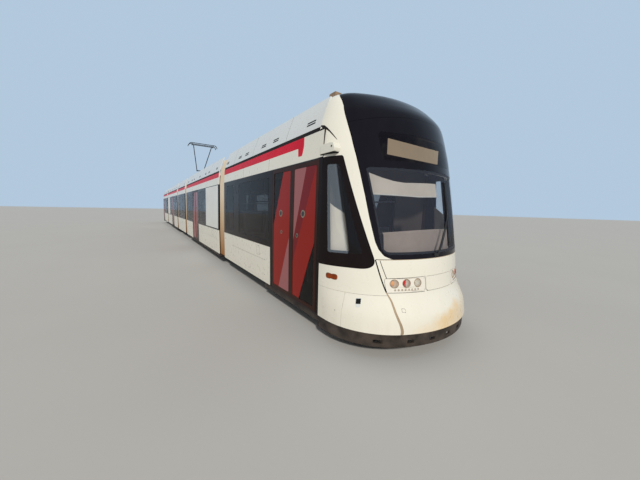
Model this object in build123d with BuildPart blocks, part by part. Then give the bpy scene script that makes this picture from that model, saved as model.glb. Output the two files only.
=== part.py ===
"""Articulated low-floor tram, five modules on three bogies.

Millimetres. +X points to the end shown in the photograph, +Z up, the origin under the middle
of the middle module at the level of the wheel flanges' tips. Every height named here is
counted above the rail top, and up() turns it into a height in this frame.
"""
from build123d import *
from math import atan2, cos, radians, sin, sqrt
import os

os.makedirs("parts", exist_ok=True)

# Overall body
WIDTH = 2650
NOSE_TIP = 16300
PANEL = 35
SEAM = 6
GLASS = 8
GLASS_GAP = 0.4

# Wheels and track
GAUGE = 1435
WHEEL_DIA = 650
FLANGE = 26
WHEELBASE = 1800
CAB_BOGIE_X = 11700

# Heights above the rail top
SKIRT_H = 327
WAIST_H = 1095
HEAD_H = 2560
GUTTER_H = 2925
SHROUD_H = 3420
CROWN_H = 3590
DOOR_FLOOR_H = 350
GANGWAY_FLOOR_H = 400
BOGIE_FLOOR_H = 450
DECK_H = 2840

# Stations along the tram, front half
CAB_BACK = 10030
CAB_FRONT = 15060
MID_FRONT = 9340
MID_BACK = 2290
CENTRE_END = 1620
CAB_DOOR = (13380, CAB_FRONT)
MID_DOOR = (4260, 5800)
POST = 70
DOOR_GAP = 8

# Half-width of the body at each height
SKIN = ((SKIRT_H, WIDTH / 2), (WAIST_H, WIDTH / 2), (HEAD_H, 1295), (GUTTER_H, 1270), (SHROUD_H, 1100))

ENDS = (("a", 0), ("b", 180))


def up(height):
    """A height above the rail top, as a height in this frame."""
    return FLANGE + height


def skin(height):
    """Half-width of the body's outer face at a height above the rail top."""
    for (low, wide), (high, narrow) in zip(SKIN, SKIN[1:]):
        if height <= high:
            return wide + (narrow - wide) * (height - low) / (high - low)
    return SKIN[-1][1]


def strip(low, high, outer, inner):
    """Outline of a wall between two heights, between two depths behind the outer face."""
    levels = [low] + [h for h, _ in SKIN if low < h < high] + [high]
    outside = [(skin(h) - outer, up(h)) for h in levels]
    inside = [(skin(h) - inner, up(h)) for h in reversed(levels)]
    return outside + inside


def wall(start, end, low, high, outer=0, inner=PANEL):
    """Both side walls between two stations, added to the part being built."""
    with BuildSketch(Plane.YZ.offset(start)) as outline:
        with BuildLine():
            Polyline(*strip(low, high, outer, inner), close=True)
        make_face()
        mirror(about=Plane.YZ)
    extrude(outline.sketch, amount=end - start)


def save(part, name):
    """Label a finished piece and write its file."""
    part.label = name
    export_step(part, f"parts/{name}.step")


def save_ends(part, stem):
    """Write a piece of the front half and its twin, turned half round about the middle."""
    for end, turn in ENDS:
        with BuildPart() as piece:
            add(part, rotation=(0, 0, turn))
        save(piece.part, f"{stem}_{end}")


# Windows, as side views: start and end at the sill, start and end at the head, heights
SILL_H = 1215
LINTEL_H = 2440
CORNER = 90
CAB_WINDOWS = ((10190, 10980, 10330, 10980), (11420, 13290, 11420, 13290))
MID_WINDOWS = (
    (2450, 3230, 2450, 3090),
    (3420, 4170, 3420, 4170),
    (5890, 7290, 5890, 7290),
    (7470, 9180, 7470, 9040),
)
CENTRE_WINDOWS = ((-1460, -780, -1320, -780), (-560, 560, -560, 560), (780, 1460, 780, 1320))


def window_outlines(windows, clearance=0):
    """Window outlines in side view, drawn smaller by a clearance."""
    with BuildSketch(Plane.XZ, mode=Mode.PRIVATE) as outlines:
        for sill_start, sill_end, head_start, head_end in windows:
            with BuildLine():
                Polyline(
                    (sill_start + clearance, up(SILL_H) + clearance),
                    (sill_end - clearance, up(SILL_H) + clearance),
                    (head_end - clearance, up(LINTEL_H) - clearance),
                    (head_start + clearance, up(LINTEL_H) - clearance),
                    close=True,
                )
            make_face()
        fillet(outlines.vertices(), radius=CORNER - clearance)
    return outlines.sketch


def panes(windows, start, end):
    """The window panes of both sides, set flush in their openings."""
    with BuildPart() as glass:
        wall(start, end, SILL_H - CORNER, LINTEL_H + CORNER, 0, GLASS)
        extrude(window_outlines(windows, GLASS_GAP), amount=WIDTH, both=True, mode=Mode.INTERSECT)
    return glass.part


# End frames of the modules, with the gangway cut through
GANGWAY_W = 1400
GANGWAY_H = 2400
END_FRAME = 30
FRAME_GAP = 0.4


def end_frame(start):
    """An end frame plate across the body, open for the gangway and below it."""
    half = strip(SKIRT_H, DECK_H, PANEL + FRAME_GAP, PANEL + FRAME_GAP)
    edge = half[: len(half) // 2]
    with BuildSketch(Plane.YZ.offset(start)) as outline:
        with BuildLine():
            Polyline(*edge, *[(-y, z) for y, z in reversed(edge)], close=True)
        make_face()
        with Locations((0, up(GANGWAY_H) - GANGWAY_H / 2)):
            RectangleRounded(GANGWAY_W, GANGWAY_H, 150, mode=Mode.SUBTRACT)
        with Locations((0, up(SKIRT_H))):
            Rectangle(GANGWAY_W, 700, mode=Mode.SUBTRACT)
    extrude(outline.sketch, amount=END_FRAME)


# Side walls: skirts below the waist, dark window band above it
# Each skirt, by station: its start, its lift-up flap's start, middle seam and end, its end
FLAP_T, FLAP_GAP = 22, 0.4
FLAP_TOP_H = 800
CAB_SKIRTS = ((CAB_BACK, 10730, 11900, 13160, CAB_DOOR[0]),)
MID_SKIRTS = (
    (MID_BACK, 2520, 3280, 4040, MID_DOOR[0]),
    (MID_DOOR[1], 6020, 7550, 9080, MID_FRONT),
)
CENTRE_SKIRTS = ((-CENTRE_END, -1340, 0, 1340, CENTRE_END),)


def skirts(table):
    """White lower panels, each a frame with two flaps that lie on its inner sheet."""
    with BuildPart() as panels:
        for start, flap_start, middle, flap_end, end in table:
            wall(start, end, SKIRT_H, WAIST_H, FLAP_T, PANEL)
            wall(start, flap_start, SKIRT_H, WAIST_H, 0, FLAP_T)
            wall(flap_start, flap_end, FLAP_TOP_H, WAIST_H, 0, FLAP_T)
            wall(flap_end, end, SKIRT_H, WAIST_H, 0, FLAP_T)
            for low, high in ((flap_start, middle), (middle, flap_end)):
                wall(low + SEAM / 2, high - SEAM / 2, SKIRT_H, FLAP_TOP_H - SEAM, 0, FLAP_T - FLAP_GAP)
    return panels.part


def band(spans, posts, frames, windows):
    """The dark window band with door posts and end frames."""
    with BuildPart() as frame:
        for start, end in spans:
            wall(start, end, WAIST_H, HEAD_H)
        for start in posts:
            wall(start, start + POST, SKIRT_H, HEAD_H)
        extrude(window_outlines(windows), amount=WIDTH, both=True, mode=Mode.SUBTRACT)
        for start in frames:
            end_frame(start)
    return frame.part


save_ends(skirts(CAB_SKIRTS), "cab_skirt")
save_ends(skirts(MID_SKIRTS), "mid_skirt")
save(skirts(CENTRE_SKIRTS), "centre_skirt")

save_ends(
    band(
        ((MID_BACK, MID_DOOR[0]), (MID_DOOR[1], MID_FRONT)),
        (MID_DOOR[0], MID_DOOR[1] - POST),
        (MID_BACK, MID_FRONT - END_FRAME),
        MID_WINDOWS,
    ),
    "mid_band",
)
save(
    band(((-CENTRE_END, CENTRE_END),), (), (-CENTRE_END, CENTRE_END - END_FRAME), CENTRE_WINDOWS),
    "centre_band",
)

# Doors: two leaves a side, each a frame around one tall pane
LEAF_FRAME = 62
LEAF_LOW_H = 345
LEAF_HIGH_H = 2540
LEAF_DEEP = PANEL


def leaf_pairs(door):
    """Start and end of the two leaves of a door portal."""
    low, high = door[0] + POST + DOOR_GAP, door[1] - POST - DOOR_GAP
    middle = (low + high) / 2
    return (low, middle - DOOR_GAP / 2), (middle + DOOR_GAP / 2, high)


def leaves(door):
    """The four leaf frames of a door, two on each side."""
    with BuildPart() as frames:
        for start, end in leaf_pairs(door):
            wall(start, end, LEAF_LOW_H, LEAF_HIGH_H, 0, LEAF_DEEP)
        extrude(leaf_outlines(door, 0), amount=WIDTH, both=True, mode=Mode.SUBTRACT)
    return frames.part


def leaf_outlines(door, clearance):
    """Outlines of the panes in the leaves, drawn smaller by a clearance."""
    with BuildSketch(Plane.XZ, mode=Mode.PRIVATE) as outlines:
        for start, end in leaf_pairs(door):
            with Locations(((start + end) / 2, up((LEAF_LOW_H + LEAF_HIGH_H) / 2))):
                RectangleRounded(
                    end - start - 2 * (LEAF_FRAME + clearance),
                    LEAF_HIGH_H - LEAF_LOW_H - 2 * (LEAF_FRAME + clearance),
                    30,
                )
    return outlines.sketch


def leaf_panes(door):
    """The tall panes of a door's leaves, set back a little."""
    with BuildPart() as glass:
        wall(door[0], door[1], LEAF_LOW_H, LEAF_HIGH_H, 6, 6 + GLASS)
        extrude(leaf_outlines(door, GLASS_GAP), amount=WIDTH, both=True, mode=Mode.INTERSECT)
    return glass.part


save_ends(leaves(CAB_DOOR), "cab_doors")
save_ends(leaves(MID_DOOR), "mid_doors")

with BuildPart() as mid_glass:
    add(panes(MID_WINDOWS, MID_BACK, MID_FRONT))
    add(leaf_panes(MID_DOOR))
save_ends(mid_glass.part, "mid_glass")
save(panes(CENTRE_WINDOWS, -CENTRE_END, CENTRE_END), "centre_glass")

# Roofs: cant panels, deck and the shrouds that hide the equipment
DECK_T = 50
SHROUD_T = 28
GUTTER_STEP = 12
GUTTER_DEEP = 60
SHROUD_BULGE = 8
ROOF_END = 30
BELLOWS_TOP_H = 3330


def roof_profile():
    """Section of a roof: cant panels, deck and shrouds in one piece."""
    low_y, top_y = skin(GUTTER_H), skin(SHROUD_H)
    deck_top = up(DECK_H + DECK_T)
    foot = (low_y - GUTTER_STEP, up(GUTTER_H + GUTTER_DEEP))
    top = (top_y, up(SHROUD_H))
    middle = ((foot[0] + top[0]) / 2 + SHROUD_BULGE, (foot[1] + top[1]) / 2 + SHROUD_BULGE / 3)
    inner_foot = (foot[0] - SHROUD_T, foot[1])
    inner_middle = (middle[0] - SHROUD_T, middle[1])
    inner_top = (top[0] - SHROUD_T, top[1])
    with BuildSketch(Plane.YZ, mode=Mode.PRIVATE) as profile:
        with BuildLine():
            Polyline(
                (0, up(DECK_H)),
                (skin(DECK_H) - PANEL, up(DECK_H)),
                (skin(HEAD_H) - PANEL, up(HEAD_H)),
                (skin(HEAD_H), up(HEAD_H)),
                (low_y, up(GUTTER_H)),
                (low_y - GUTTER_STEP, up(GUTTER_H)),
                foot,
            )
            ThreePointArc(foot, middle, top)
            Line(top, inner_top)
            ThreePointArc(inner_top, inner_middle, inner_foot)
            Polyline(inner_foot, (inner_foot[0], deck_top), (0, deck_top), (0, up(DECK_H)))
        make_face()
        mirror(about=Plane.YZ)
    return profile.sketch


# Louvres in the shrouds: middles of the pairs of slots on each kind of roof
LOUVRE_L, LOUVRE_TALL = 230, 14
LOUVRE_ROWS_H = (3088, 3126)
CAB_LOUVRES = (10220, 11330, 11840, 12860, 13430, 14645)
MID_LOUVRES = (2700, 3900, 4500, 5900, 7100, 7700, 8900)
CENTRE_LOUVRES = (-1100, 1100)

# Roof equipment boxes: centre station, length, width, height
CAB_GEAR = ((10800, 900, 1500, 330), (12350, 1700, 1700, 380), (14000, 900, 1500, 300))
MID_GEAR = ((3300, 1300, 1600, 320), (5200, 1500, 1700, 400), (7600, 2000, 1600, 360))


LID_T, LID_RIM = 24, 18
FAN_R, FAN_DEEP = 190, 40


def roof(start, end, gear, ends, louvres):
    """A module's roof over the given stations, with its equipment boxes and end plates."""
    with BuildPart() as top:
        extrude(roof_profile().moved(Location((start, 0, 0))), amount=end - start)
        for station in ends:
            low_half = skin(GUTTER_H) - GUTTER_STEP - SHROUD_T
            with BuildSketch(Plane.YZ.offset(station)) as plate:
                with BuildLine():
                    Polyline(
                        (low_half, up(DECK_H + DECK_T)),
                        (skin(BELLOWS_TOP_H) - SHROUD_T, up(BELLOWS_TOP_H)),
                        (-skin(BELLOWS_TOP_H) + SHROUD_T, up(BELLOWS_TOP_H)),
                        (-low_half, up(DECK_H + DECK_T)),
                        close=True,
                    )
                make_face()
            extrude(plate.sketch, amount=ROOF_END)
        for station, length, width, height in gear:
            with BuildSketch(Plane.XY.offset(up(DECK_H + DECK_T))) as box:
                with Locations((station, 0)):
                    RectangleRounded(length, width, 60)
            extrude(box.sketch, amount=height)
            with BuildSketch(Plane.XY.offset(up(DECK_H + DECK_T) + height - LID_T - 6)) as lid:
                with Locations((station, 0)):
                    RectangleRounded(length + 2 * LID_RIM, width + 2 * LID_RIM, 60 + LID_RIM)
            extrude(lid.sketch, amount=LID_T)
            for side in (-1, 1):
                with Locations((station + side * length / 4, 0, up(DECK_H + DECK_T) + height)):
                    Cylinder(FAN_R, 2 * FAN_DEEP, mode=Mode.SUBTRACT)
                with Locations((station + side * length / 4, 0, up(DECK_H + DECK_T) + height - FAN_DEEP / 2)):
                    Cylinder(FAN_R / 3, FAN_DEEP)
        for station in louvres:
            for row in LOUVRE_ROWS_H:
                for side in (-1, 1):
                    with Locations((station, side * skin(row), up(row))):
                        Box(LOUVRE_L, 140, LOUVRE_TALL, mode=Mode.SUBTRACT)
    return top.part


ROOF_FRONT = 14940
save_ends(roof(CAB_BACK, ROOF_FRONT, CAB_GEAR, (CAB_BACK,), CAB_LOUVRES), "cab_roof")
save_ends(roof(MID_BACK, MID_FRONT, MID_GEAR, (MID_BACK, MID_FRONT - ROOF_END), MID_LOUVRES), "mid_roof")
save(roof(-CENTRE_END, CENTRE_END, (), (-CENTRE_END, CENTRE_END - ROOF_END), CENTRE_LOUVRES), "centre_roof")

# Nose: plan sections by height, as lines and arcs
# height, nose tip, half-width, front radius, corner radius
NOSE = (
    (SKIRT_H, NOSE_TIP, 1325, 1700, 1000),
    (500, 16272, 1325, 1700, 1000),
    (820, 16130, 1325, 1700, 980),
    (1222, 16080, 1322, 1700, 950),
    (HEAD_H, 15860, 1295, 1700, 680),
    (GUTTER_H, 15770, 1270, 1650, 640),
    (3150, 15690, 1205, 1680, 560),
    (3300, 15570, 1150, 1750, 450),
    (SHROUD_H, 15440, 1100, 1900, 300),
    (3520, 15250, 1060, 1850, 280),
    (3610, 14900, 1020, 1800, 260),
)
NOSE_BACK = 13900
NOSE_WALL = 40
FAR = 17000
TOP = 4000


def plan_section(height, tip, half, front, corner, inset=0, back=NOSE_BACK):
    """One plan section of the nose, as a closed face at its height."""
    tip, half, front, corner = tip - inset, half - inset, front - inset, corner - inset
    turn_y = half - corner
    front_x = tip - front
    corner_x = front_x + sqrt((front - corner) ** 2 - turn_y**2)
    turn = atan2(turn_y, corner_x - front_x)
    meet = (front_x + front * cos(turn), front * sin(turn))
    halfway = (turn + radians(90)) / 2
    mid = (corner_x + corner * cos(halfway), turn_y + corner * sin(halfway))
    with BuildSketch(Plane.XY.offset(up(height)), mode=Mode.PRIVATE) as section:
        with BuildLine():
            Line((back, -half), (corner_x, -half))
            ThreePointArc((corner_x, -half), (mid[0], -mid[1]), (meet[0], -meet[1]))
            ThreePointArc((meet[0], -meet[1]), (tip, 0), meet)
            ThreePointArc(meet, mid, (corner_x, half))
            Polyline((corner_x, half), (back, half), (back, -half))
        make_face()
    return section.sketch


def crown_bar(inset):
    """The cambered roof line over the nose, as a bar along the tram."""
    edge, edge_h = skin(SHROUD_H), SHROUD_H + 5
    with BuildPart() as bar:
        with BuildSketch(Plane.YZ.offset(NOSE_BACK)) as outline:
            with BuildLine():
                ThreePointArc(
                    (-edge, up(edge_h - inset)), (0, up(CROWN_H - inset)), (edge, up(edge_h - inset))
                )
                Polyline(
                    (edge, up(edge_h - inset)),
                    (WIDTH, up(edge_h - inset)),
                    (WIDTH, 0),
                    (-WIDTH, 0),
                    (-WIDTH, up(edge_h - inset)),
                    (-edge, up(edge_h - inset)),
                )
            make_face()
        extrude(outline.sketch, amount=FAR - NOSE_BACK)
    return bar.part


def nose_solid(inset):
    """The solid nose through the plan sections, all drawn smaller by an inset."""
    with BuildPart() as nose:
        loft([plan_section(*row, inset).face() for row in NOSE], ruled=True)
        add(crown_bar(inset), mode=Mode.INTERSECT)
    return nose.part


LENS_T, PLATE_IN, PLATE_T = 30, 8, 16
NOSES = {inset: nose_solid(inset) for inset in (0, GLASS, PLATE_IN + PLATE_T, LENS_T, NOSE_WALL)}


def nose_shell(outer, inner):
    """The wall of the nose between two insets."""
    with BuildPart() as shell:
        add(NOSES[outer])
        add(NOSES[inner], mode=Mode.SUBTRACT)
    return shell.part


def side_prism(points, grow=0, corner=None, radius=0):
    """A block through the whole width, its side view given by points above the rail."""
    with BuildPart() as block:
        with BuildSketch(Plane.XZ) as outline:
            with BuildLine():
                Polyline(*[(x, up(z)) for x, z in points], close=True)
            make_face()
            if corner:
                near = outline.vertices().sort_by_distance((corner[0], up(corner[1]), 0))[0]
                fillet(near, radius=radius)
            if grow:
                offset(amount=grow)
        extrude(outline.sketch, amount=WIDTH, both=True)
    return block.part


# Side views of the lines that split the nose into its panels: station, height above the rail
MASK_FOOT_H = 1235
MASK_EDGE = (
    (15800, MASK_FOOT_H),
    (15681, 1760),
    (15542, 2321),
    (15399, 2782),
    (15218, 3220),
    (15080, 3398),
    (14962, 3480),
    (14962, 3800),
)
MASK_CORNER_R = 160
PILLAR_FOOT = (15775, 1255)
PILLAR_HEAD = (15350, HEAD_H - SEAM)
SIDE_BLACK = ((CAB_FRONT, WAIST_H), (15640, 1112), PILLAR_FOOT, PILLAR_HEAD, (CAB_FRONT, HEAD_H - SEAM))
SIDE_WINDOW = ((15238, 1270), (15528, 1310), (15320, 2430), (15150, 2446))
BODY_SEAM = ((15782, MASK_FOOT_H - SEAM), (15897, 823), (16028, 595), (16110, 430), (16114, 100))

# Front view of the openings in the mask: the clear windscreen and the destination display
CLEAR_LOW_H, CLEAR_HIGH_H = 1335, 2370
CLEAR_LOW_W, CLEAR_HIGH_W = 1720, 1900
CLEAR_CORNER = 110
DISPLAY_W, DISPLAY_TALL, DISPLAY_H = 1240, 220, 2690

nose_wall = nose_shell(0, NOSE_WALL)
mask_view = MASK_EDGE + ((MASK_EDGE[-1][0], TOP), (FAR, TOP), (FAR, MASK_FOOT_H))
front_view = BODY_SEAM + ((FAR, 100), (FAR, MASK_FOOT_H - SEAM))
frame_view = (
    (ROOF_FRONT, TOP),
    (ROOF_FRONT, GUTTER_H),
    (CAB_FRONT, GUTTER_H),
    (CAB_FRONT, 0),
    (FAR, 0),
    (FAR, TOP),
)


def front_openings(clearance):
    """Front view of the clear windscreen and of the destination display's window."""
    with BuildSketch(Plane.YZ.offset(CAB_FRONT), mode=Mode.PRIVATE) as outline:
        with BuildLine():
            Polyline(
                (-CLEAR_LOW_W / 2, up(CLEAR_LOW_H)),
                (CLEAR_LOW_W / 2, up(CLEAR_LOW_H)),
                (CLEAR_HIGH_W / 2, up(CLEAR_HIGH_H)),
                (-CLEAR_HIGH_W / 2, up(CLEAR_HIGH_H)),
                close=True,
            )
        make_face()
        fillet(outline.vertices(), radius=CLEAR_CORNER)
        with Locations((0, up(DISPLAY_H))):
            RectangleRounded(DISPLAY_W, DISPLAY_TALL, 20)
        if clearance:
            offset(amount=-clearance)
    return outline.sketch


with BuildPart() as mask:
    add(nose_wall)
    add(side_prism(mask_view, 0, MASK_EDGE[0], MASK_CORNER_R), mode=Mode.INTERSECT)
    extrude(front_openings(0), amount=FAR - CAB_FRONT, mode=Mode.SUBTRACT)

# Wiper, parked on a slant: heights of its foot, of its joint with the blade and of the blade's ends
WIPER_FOOT_H, WIPER_JOINT_H, BLADE_LOW_H, BLADE_HIGH_H = 1275, 1800, 1360, 2290
WIPER_FOOT_Y, BLADE_Y = -100, 250
WIPER_PROUD, JOINT_PROUD, BLADE_PROUD = 34, 24, 14
ARM_R, BLADE_R, BOSS_R = 11, 9, 26


def glass_point(height, across, proud):
    """A point ahead of the windscreen by a distance along the tram."""
    rows = list(zip(NOSE, NOSE[1:]))
    low, high = [pair for pair in rows if pair[0][0] <= height <= pair[1][0]][0]
    share = (height - low[0]) / (high[0] - low[0])
    tip = low[1] + (high[1] - low[1]) * share
    front = low[3] + (high[3] - low[3]) * share
    return Vector(tip - front + sqrt(front**2 - across**2) + proud, across, up(height))


with BuildPart() as wiper:
    foot = glass_point(WIPER_FOOT_H, WIPER_FOOT_Y, 0)
    with BuildSketch(Plane(origin=foot, z_dir=(1, 0, 0.15))) as boss:
        Circle(BOSS_R)
    extrude(boss.sketch, amount=WIPER_PROUD, both=True)
    hub = glass_point(WIPER_FOOT_H, WIPER_FOOT_Y, WIPER_PROUD)
    joint = glass_point(WIPER_JOINT_H, BLADE_Y, JOINT_PROUD)
    low_end = glass_point(BLADE_LOW_H, BLADE_Y, BLADE_PROUD)
    high_end = glass_point(BLADE_HIGH_H, BLADE_Y, BLADE_PROUD)
    for start, end, radius in ((hub, joint, ARM_R), (low_end, high_end, BLADE_R)):
        with BuildSketch(Plane(origin=start, z_dir=(end - start).normalized())) as bar:
            Circle(radius)
        extrude(bar.sketch, amount=(end - start).length)
    add(NOSES[0], mode=Mode.SUBTRACT)
with BuildPart() as mask_and_wiper:
    add(mask.part)
    add(wiper.part)
save_ends(mask_and_wiper.part, "cab_mask")

with BuildPart() as windscreen:
    add(nose_shell(0, GLASS))
    extrude(front_openings(GLASS_GAP), amount=FAR - CAB_FRONT, mode=Mode.INTERSECT)
save_ends(windscreen.part, "cab_windscreen")

# Lamp panels, front view: centre across, width, height of the middle and of the panel
LAMP_PANEL = (598, 556, 911, 170)
LAMP_ROW_H = 928
LAMPS = ((753, 58), (611, 58), (436, 58))
LAMP_GAP = 0.4


def lamp_panels(clearance):
    """Front view of both lamp panels, drawn smaller by a clearance."""
    across, width, middle, tall = LAMP_PANEL
    with BuildSketch(Plane.YZ.offset(CAB_FRONT), mode=Mode.PRIVATE) as outline:
        with Locations((across, up(middle)), (-across, up(middle))):
            Rectangle(width - 2 * clearance, tall - 2 * clearance)
    return outline.sketch


def lamp_faces(clearance):
    """Front view of all six lamps, drawn larger by a clearance."""
    with BuildSketch(Plane.YZ.offset(CAB_FRONT), mode=Mode.PRIVATE) as outline:
        for across, radius in LAMPS:
            with Locations((across, up(LAMP_ROW_H)), (-across, up(LAMP_ROW_H))):
                Circle(radius + clearance)
    return outline.sketch


SEAT = PLATE_IN + PLATE_T
with BuildPart() as nose_panels:
    add(nose_shell(0, SEAT))
    add(side_prism(frame_view), mode=Mode.INTERSECT)
    add(side_prism(mask_view, SEAM, MASK_EDGE[0], MASK_CORNER_R), mode=Mode.SUBTRACT)
    add(side_prism(SIDE_BLACK, SEAM / 2), mode=Mode.SUBTRACT)
    add(side_prism(front_view, SEAM), mode=Mode.SUBTRACT)
with BuildPart() as nose_seat:
    add(nose_shell(SEAT, NOSE_WALL))
    add(side_prism(frame_view), mode=Mode.INTERSECT)
    add(side_prism(mask_view, 0, MASK_EDGE[0], MASK_CORNER_R), mode=Mode.SUBTRACT)
    add(side_prism(SIDE_BLACK, -SEAM / 2), mode=Mode.SUBTRACT)
with BuildPart() as front_panel:
    add(nose_wall)
    add(side_prism(front_view), mode=Mode.INTERSECT)
with BuildPart() as nose_white:
    add(nose_panels.part)
    add(nose_seat.part)
    add(front_panel.part)
    extrude(lamp_panels(0), amount=FAR - CAB_FRONT, mode=Mode.SUBTRACT)
save_ends(nose_white.part, "cab_nose")

with BuildPart() as lamp_plates:
    add(nose_shell(PLATE_IN, PLATE_IN + PLATE_T))
    extrude(lamp_panels(LAMP_GAP), amount=FAR - CAB_FRONT, mode=Mode.INTERSECT)
    extrude(lamp_faces(1), amount=FAR - CAB_FRONT, mode=Mode.SUBTRACT)
with BuildPart() as lamp_lenses:
    add(nose_shell(0, LENS_T))
    extrude(lamp_faces(0), amount=FAR - CAB_FRONT, mode=Mode.INTERSECT)
with BuildPart() as lamps:
    add(lamp_plates.part)
    add(lamp_lenses.part)
save_ends(lamps.part, "cab_lamps")

# Dark surround of the cab's side windows joins the door's front post in the window band
with BuildPart() as side_black:
    add(nose_wall)
    add(side_prism(SIDE_BLACK, -SEAM / 2), mode=Mode.INTERSECT)
    add(side_prism(SIDE_WINDOW), mode=Mode.SUBTRACT)
with BuildPart() as cab_band:
    add(band(((CAB_BACK, CAB_DOOR[0]),), (CAB_DOOR[0], CAB_DOOR[1] - POST), (CAB_BACK,), CAB_WINDOWS))
    add(side_black.part)
save_ends(cab_band.part, "cab_band")

with BuildPart() as side_panes:
    add(nose_shell(0, GLASS))
    add(side_prism(SIDE_WINDOW, -GLASS_GAP), mode=Mode.INTERSECT)
with BuildPart() as cab_glass:
    add(panes(CAB_WINDOWS, CAB_BACK, CAB_DOOR[0]))
    add(leaf_panes(CAB_DOOR))
    add(side_panes.part)
save_ends(cab_glass.part, "cab_glass")

# Floors and underframes
FLOOR_T = 30
FLOOR_GAP = 0.4
FLOOR_HALF = WIDTH / 2 - PANEL - FLOOR_GAP
AISLE_HALF = 600
RAMP = 330
BOX_HALF_L = 1340
BOX_TOP_H = 745
BOX_T = 12
DISC_R = 560
DISC_GAP = 15
PIVOTS = ((CAB_BACK + MID_FRONT) / 2, (MID_BACK + CENTRE_END) / 2)
SILL_W, SILL_LOW_H = 130, 215
LINK_T = 40
LINK_LOW_H = 200
PIN_R, PIN_GAP = 45, 1
LINK_ROOT = 320
PAD_LONG, PAD_WIDE, PAD_LOW_H = 220, 110, 200
CAB_PADS, MID_PADS = (13700,), (3100, 8500)
TOW_X, TOW_R, TOW_H, TOW_T, TOW_W = 16080, 25, 215, 100, 260


def floor_plate(tops):
    """A full-width floor plate whose top follows stations and heights."""
    with BuildSketch(Plane.XZ, mode=Mode.PRIVATE) as outline:
        with BuildLine():
            upper = [(x, up(z)) for x, z in tops]
            lower = [(x, up(z - FLOOR_T)) for x, z in reversed(tops)]
            Polyline(*upper, *lower, close=True)
        make_face()
    extrude(outline.sketch, amount=FLOOR_HALF, both=True)


def sills(start, end, middles=()):
    """Longitudinal sills and cross members under the floor being built."""
    low, high = up(SILL_LOW_H), up(DOOR_FLOOR_H - FLOOR_T / 2)
    for side in (-1, 1):
        with Locations(((start + end) / 2, side * (FLOOR_HALF - SILL_W / 2), (low + high) / 2)):
            Box(end - start, SILL_W, high - low)
    for station in middles:
        with Locations((station, 0, (low + high) / 2 + 15)):
            Box(90, 2 * FLOOR_HALF - SILL_W, high - low - 30)


def jacking_pads(stations):
    """Pads under both sills where the body is lifted."""
    for station in stations:
        for side in (-1, 1):
            with Locations((station, side * (FLOOR_HALF - SILL_W / 2), up(PAD_LOW_H) + 10)):
                Box(PAD_LONG, PAD_WIDE, 20)


def tow_block():
    """The towing block behind the apron, hung from the cab floor, with its pin bore."""
    start, end = CAB_FRONT, TOW_X + 70
    with Locations(((start + end) / 2, 0, up(TOW_H))):
        Box(end - start, TOW_W, TOW_T)
    with Locations((start + 150, 0, up(TOW_H + 50))):
        Box(300, 400, 120)
    with Locations((TOW_X, 0, up(TOW_H))):
        Cylinder(TOW_R, TOW_T + 60, mode=Mode.SUBTRACT)


def link_arm(pivot, root, low_h, bore):
    """A coupling arm from a module's end to the pivot, round about it, with pin or eye."""
    middle = (pivot + root) / 2
    low = up(low_h)
    with Locations((middle, 0, low + LINK_T / 2)):
        Box(abs(root - pivot), 180, LINK_T)
    with Locations((pivot, 0, low + LINK_T / 2)):
        Cylinder(110, LINK_T)
        if bore:
            Cylinder(PIN_R + PIN_GAP, LINK_T, mode=Mode.SUBTRACT)


def hanger(station, low_h, high_h):
    """The block that carries a coupling arm from the floor of the end being built."""
    with Locations((station, 0, (up(low_h) + up(high_h)) / 2)):
        Box(120, 500, up(high_h) - up(low_h))


def low_floor(tops, bogies, frames):
    """A floor plate cut round the end frames, with wheel boxes set into it at each bogie."""
    with BuildPart() as floor:
        floor_plate(tops)
        for station in frames:
            for side in (-1, 1):
                across = side * (GANGWAY_W / 2 + FLOOR_HALF) / 2
                with Locations((station + END_FRAME / 2, across, up(GANGWAY_FLOOR_H))):
                    Box(END_FRAME, FLOOR_HALF - GANGWAY_W / 2 + 1, 300, mode=Mode.SUBTRACT)
        for middle in bogies:
            for side in (-1, 1):
                with Locations((middle, side * (AISLE_HALF + FLOOR_HALF) / 2, up(BOGIE_FLOOR_H))):
                    Box(2 * BOX_HALF_L, FLOOR_HALF - AISLE_HALF, 300, mode=Mode.SUBTRACT)
            low, high = up(BOGIE_FLOOR_H - FLOOR_T), up(BOX_TOP_H)
            for side in (-1, 1):
                with Locations((middle, side * (AISLE_HALF + BOX_T / 2), (low + high) / 2)):
                    Box(2 * BOX_HALF_L, BOX_T, high - low)
                with Locations((middle, side * (AISLE_HALF + FLOOR_HALF) / 2, high - BOX_T / 2)):
                    Box(2 * BOX_HALF_L, FLOOR_HALF - AISLE_HALF, BOX_T)
                for end in (-1, 1):
                    x = middle + end * (BOX_HALF_L - BOX_T / 2)
                    with Locations((x, side * (AISLE_HALF + FLOOR_HALF) / 2, (up(DOOR_FLOOR_H) + high) / 2)):
                        Box(BOX_T, FLOOR_HALF - AISLE_HALF, high - up(DOOR_FLOOR_H))
    return floor.part


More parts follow.
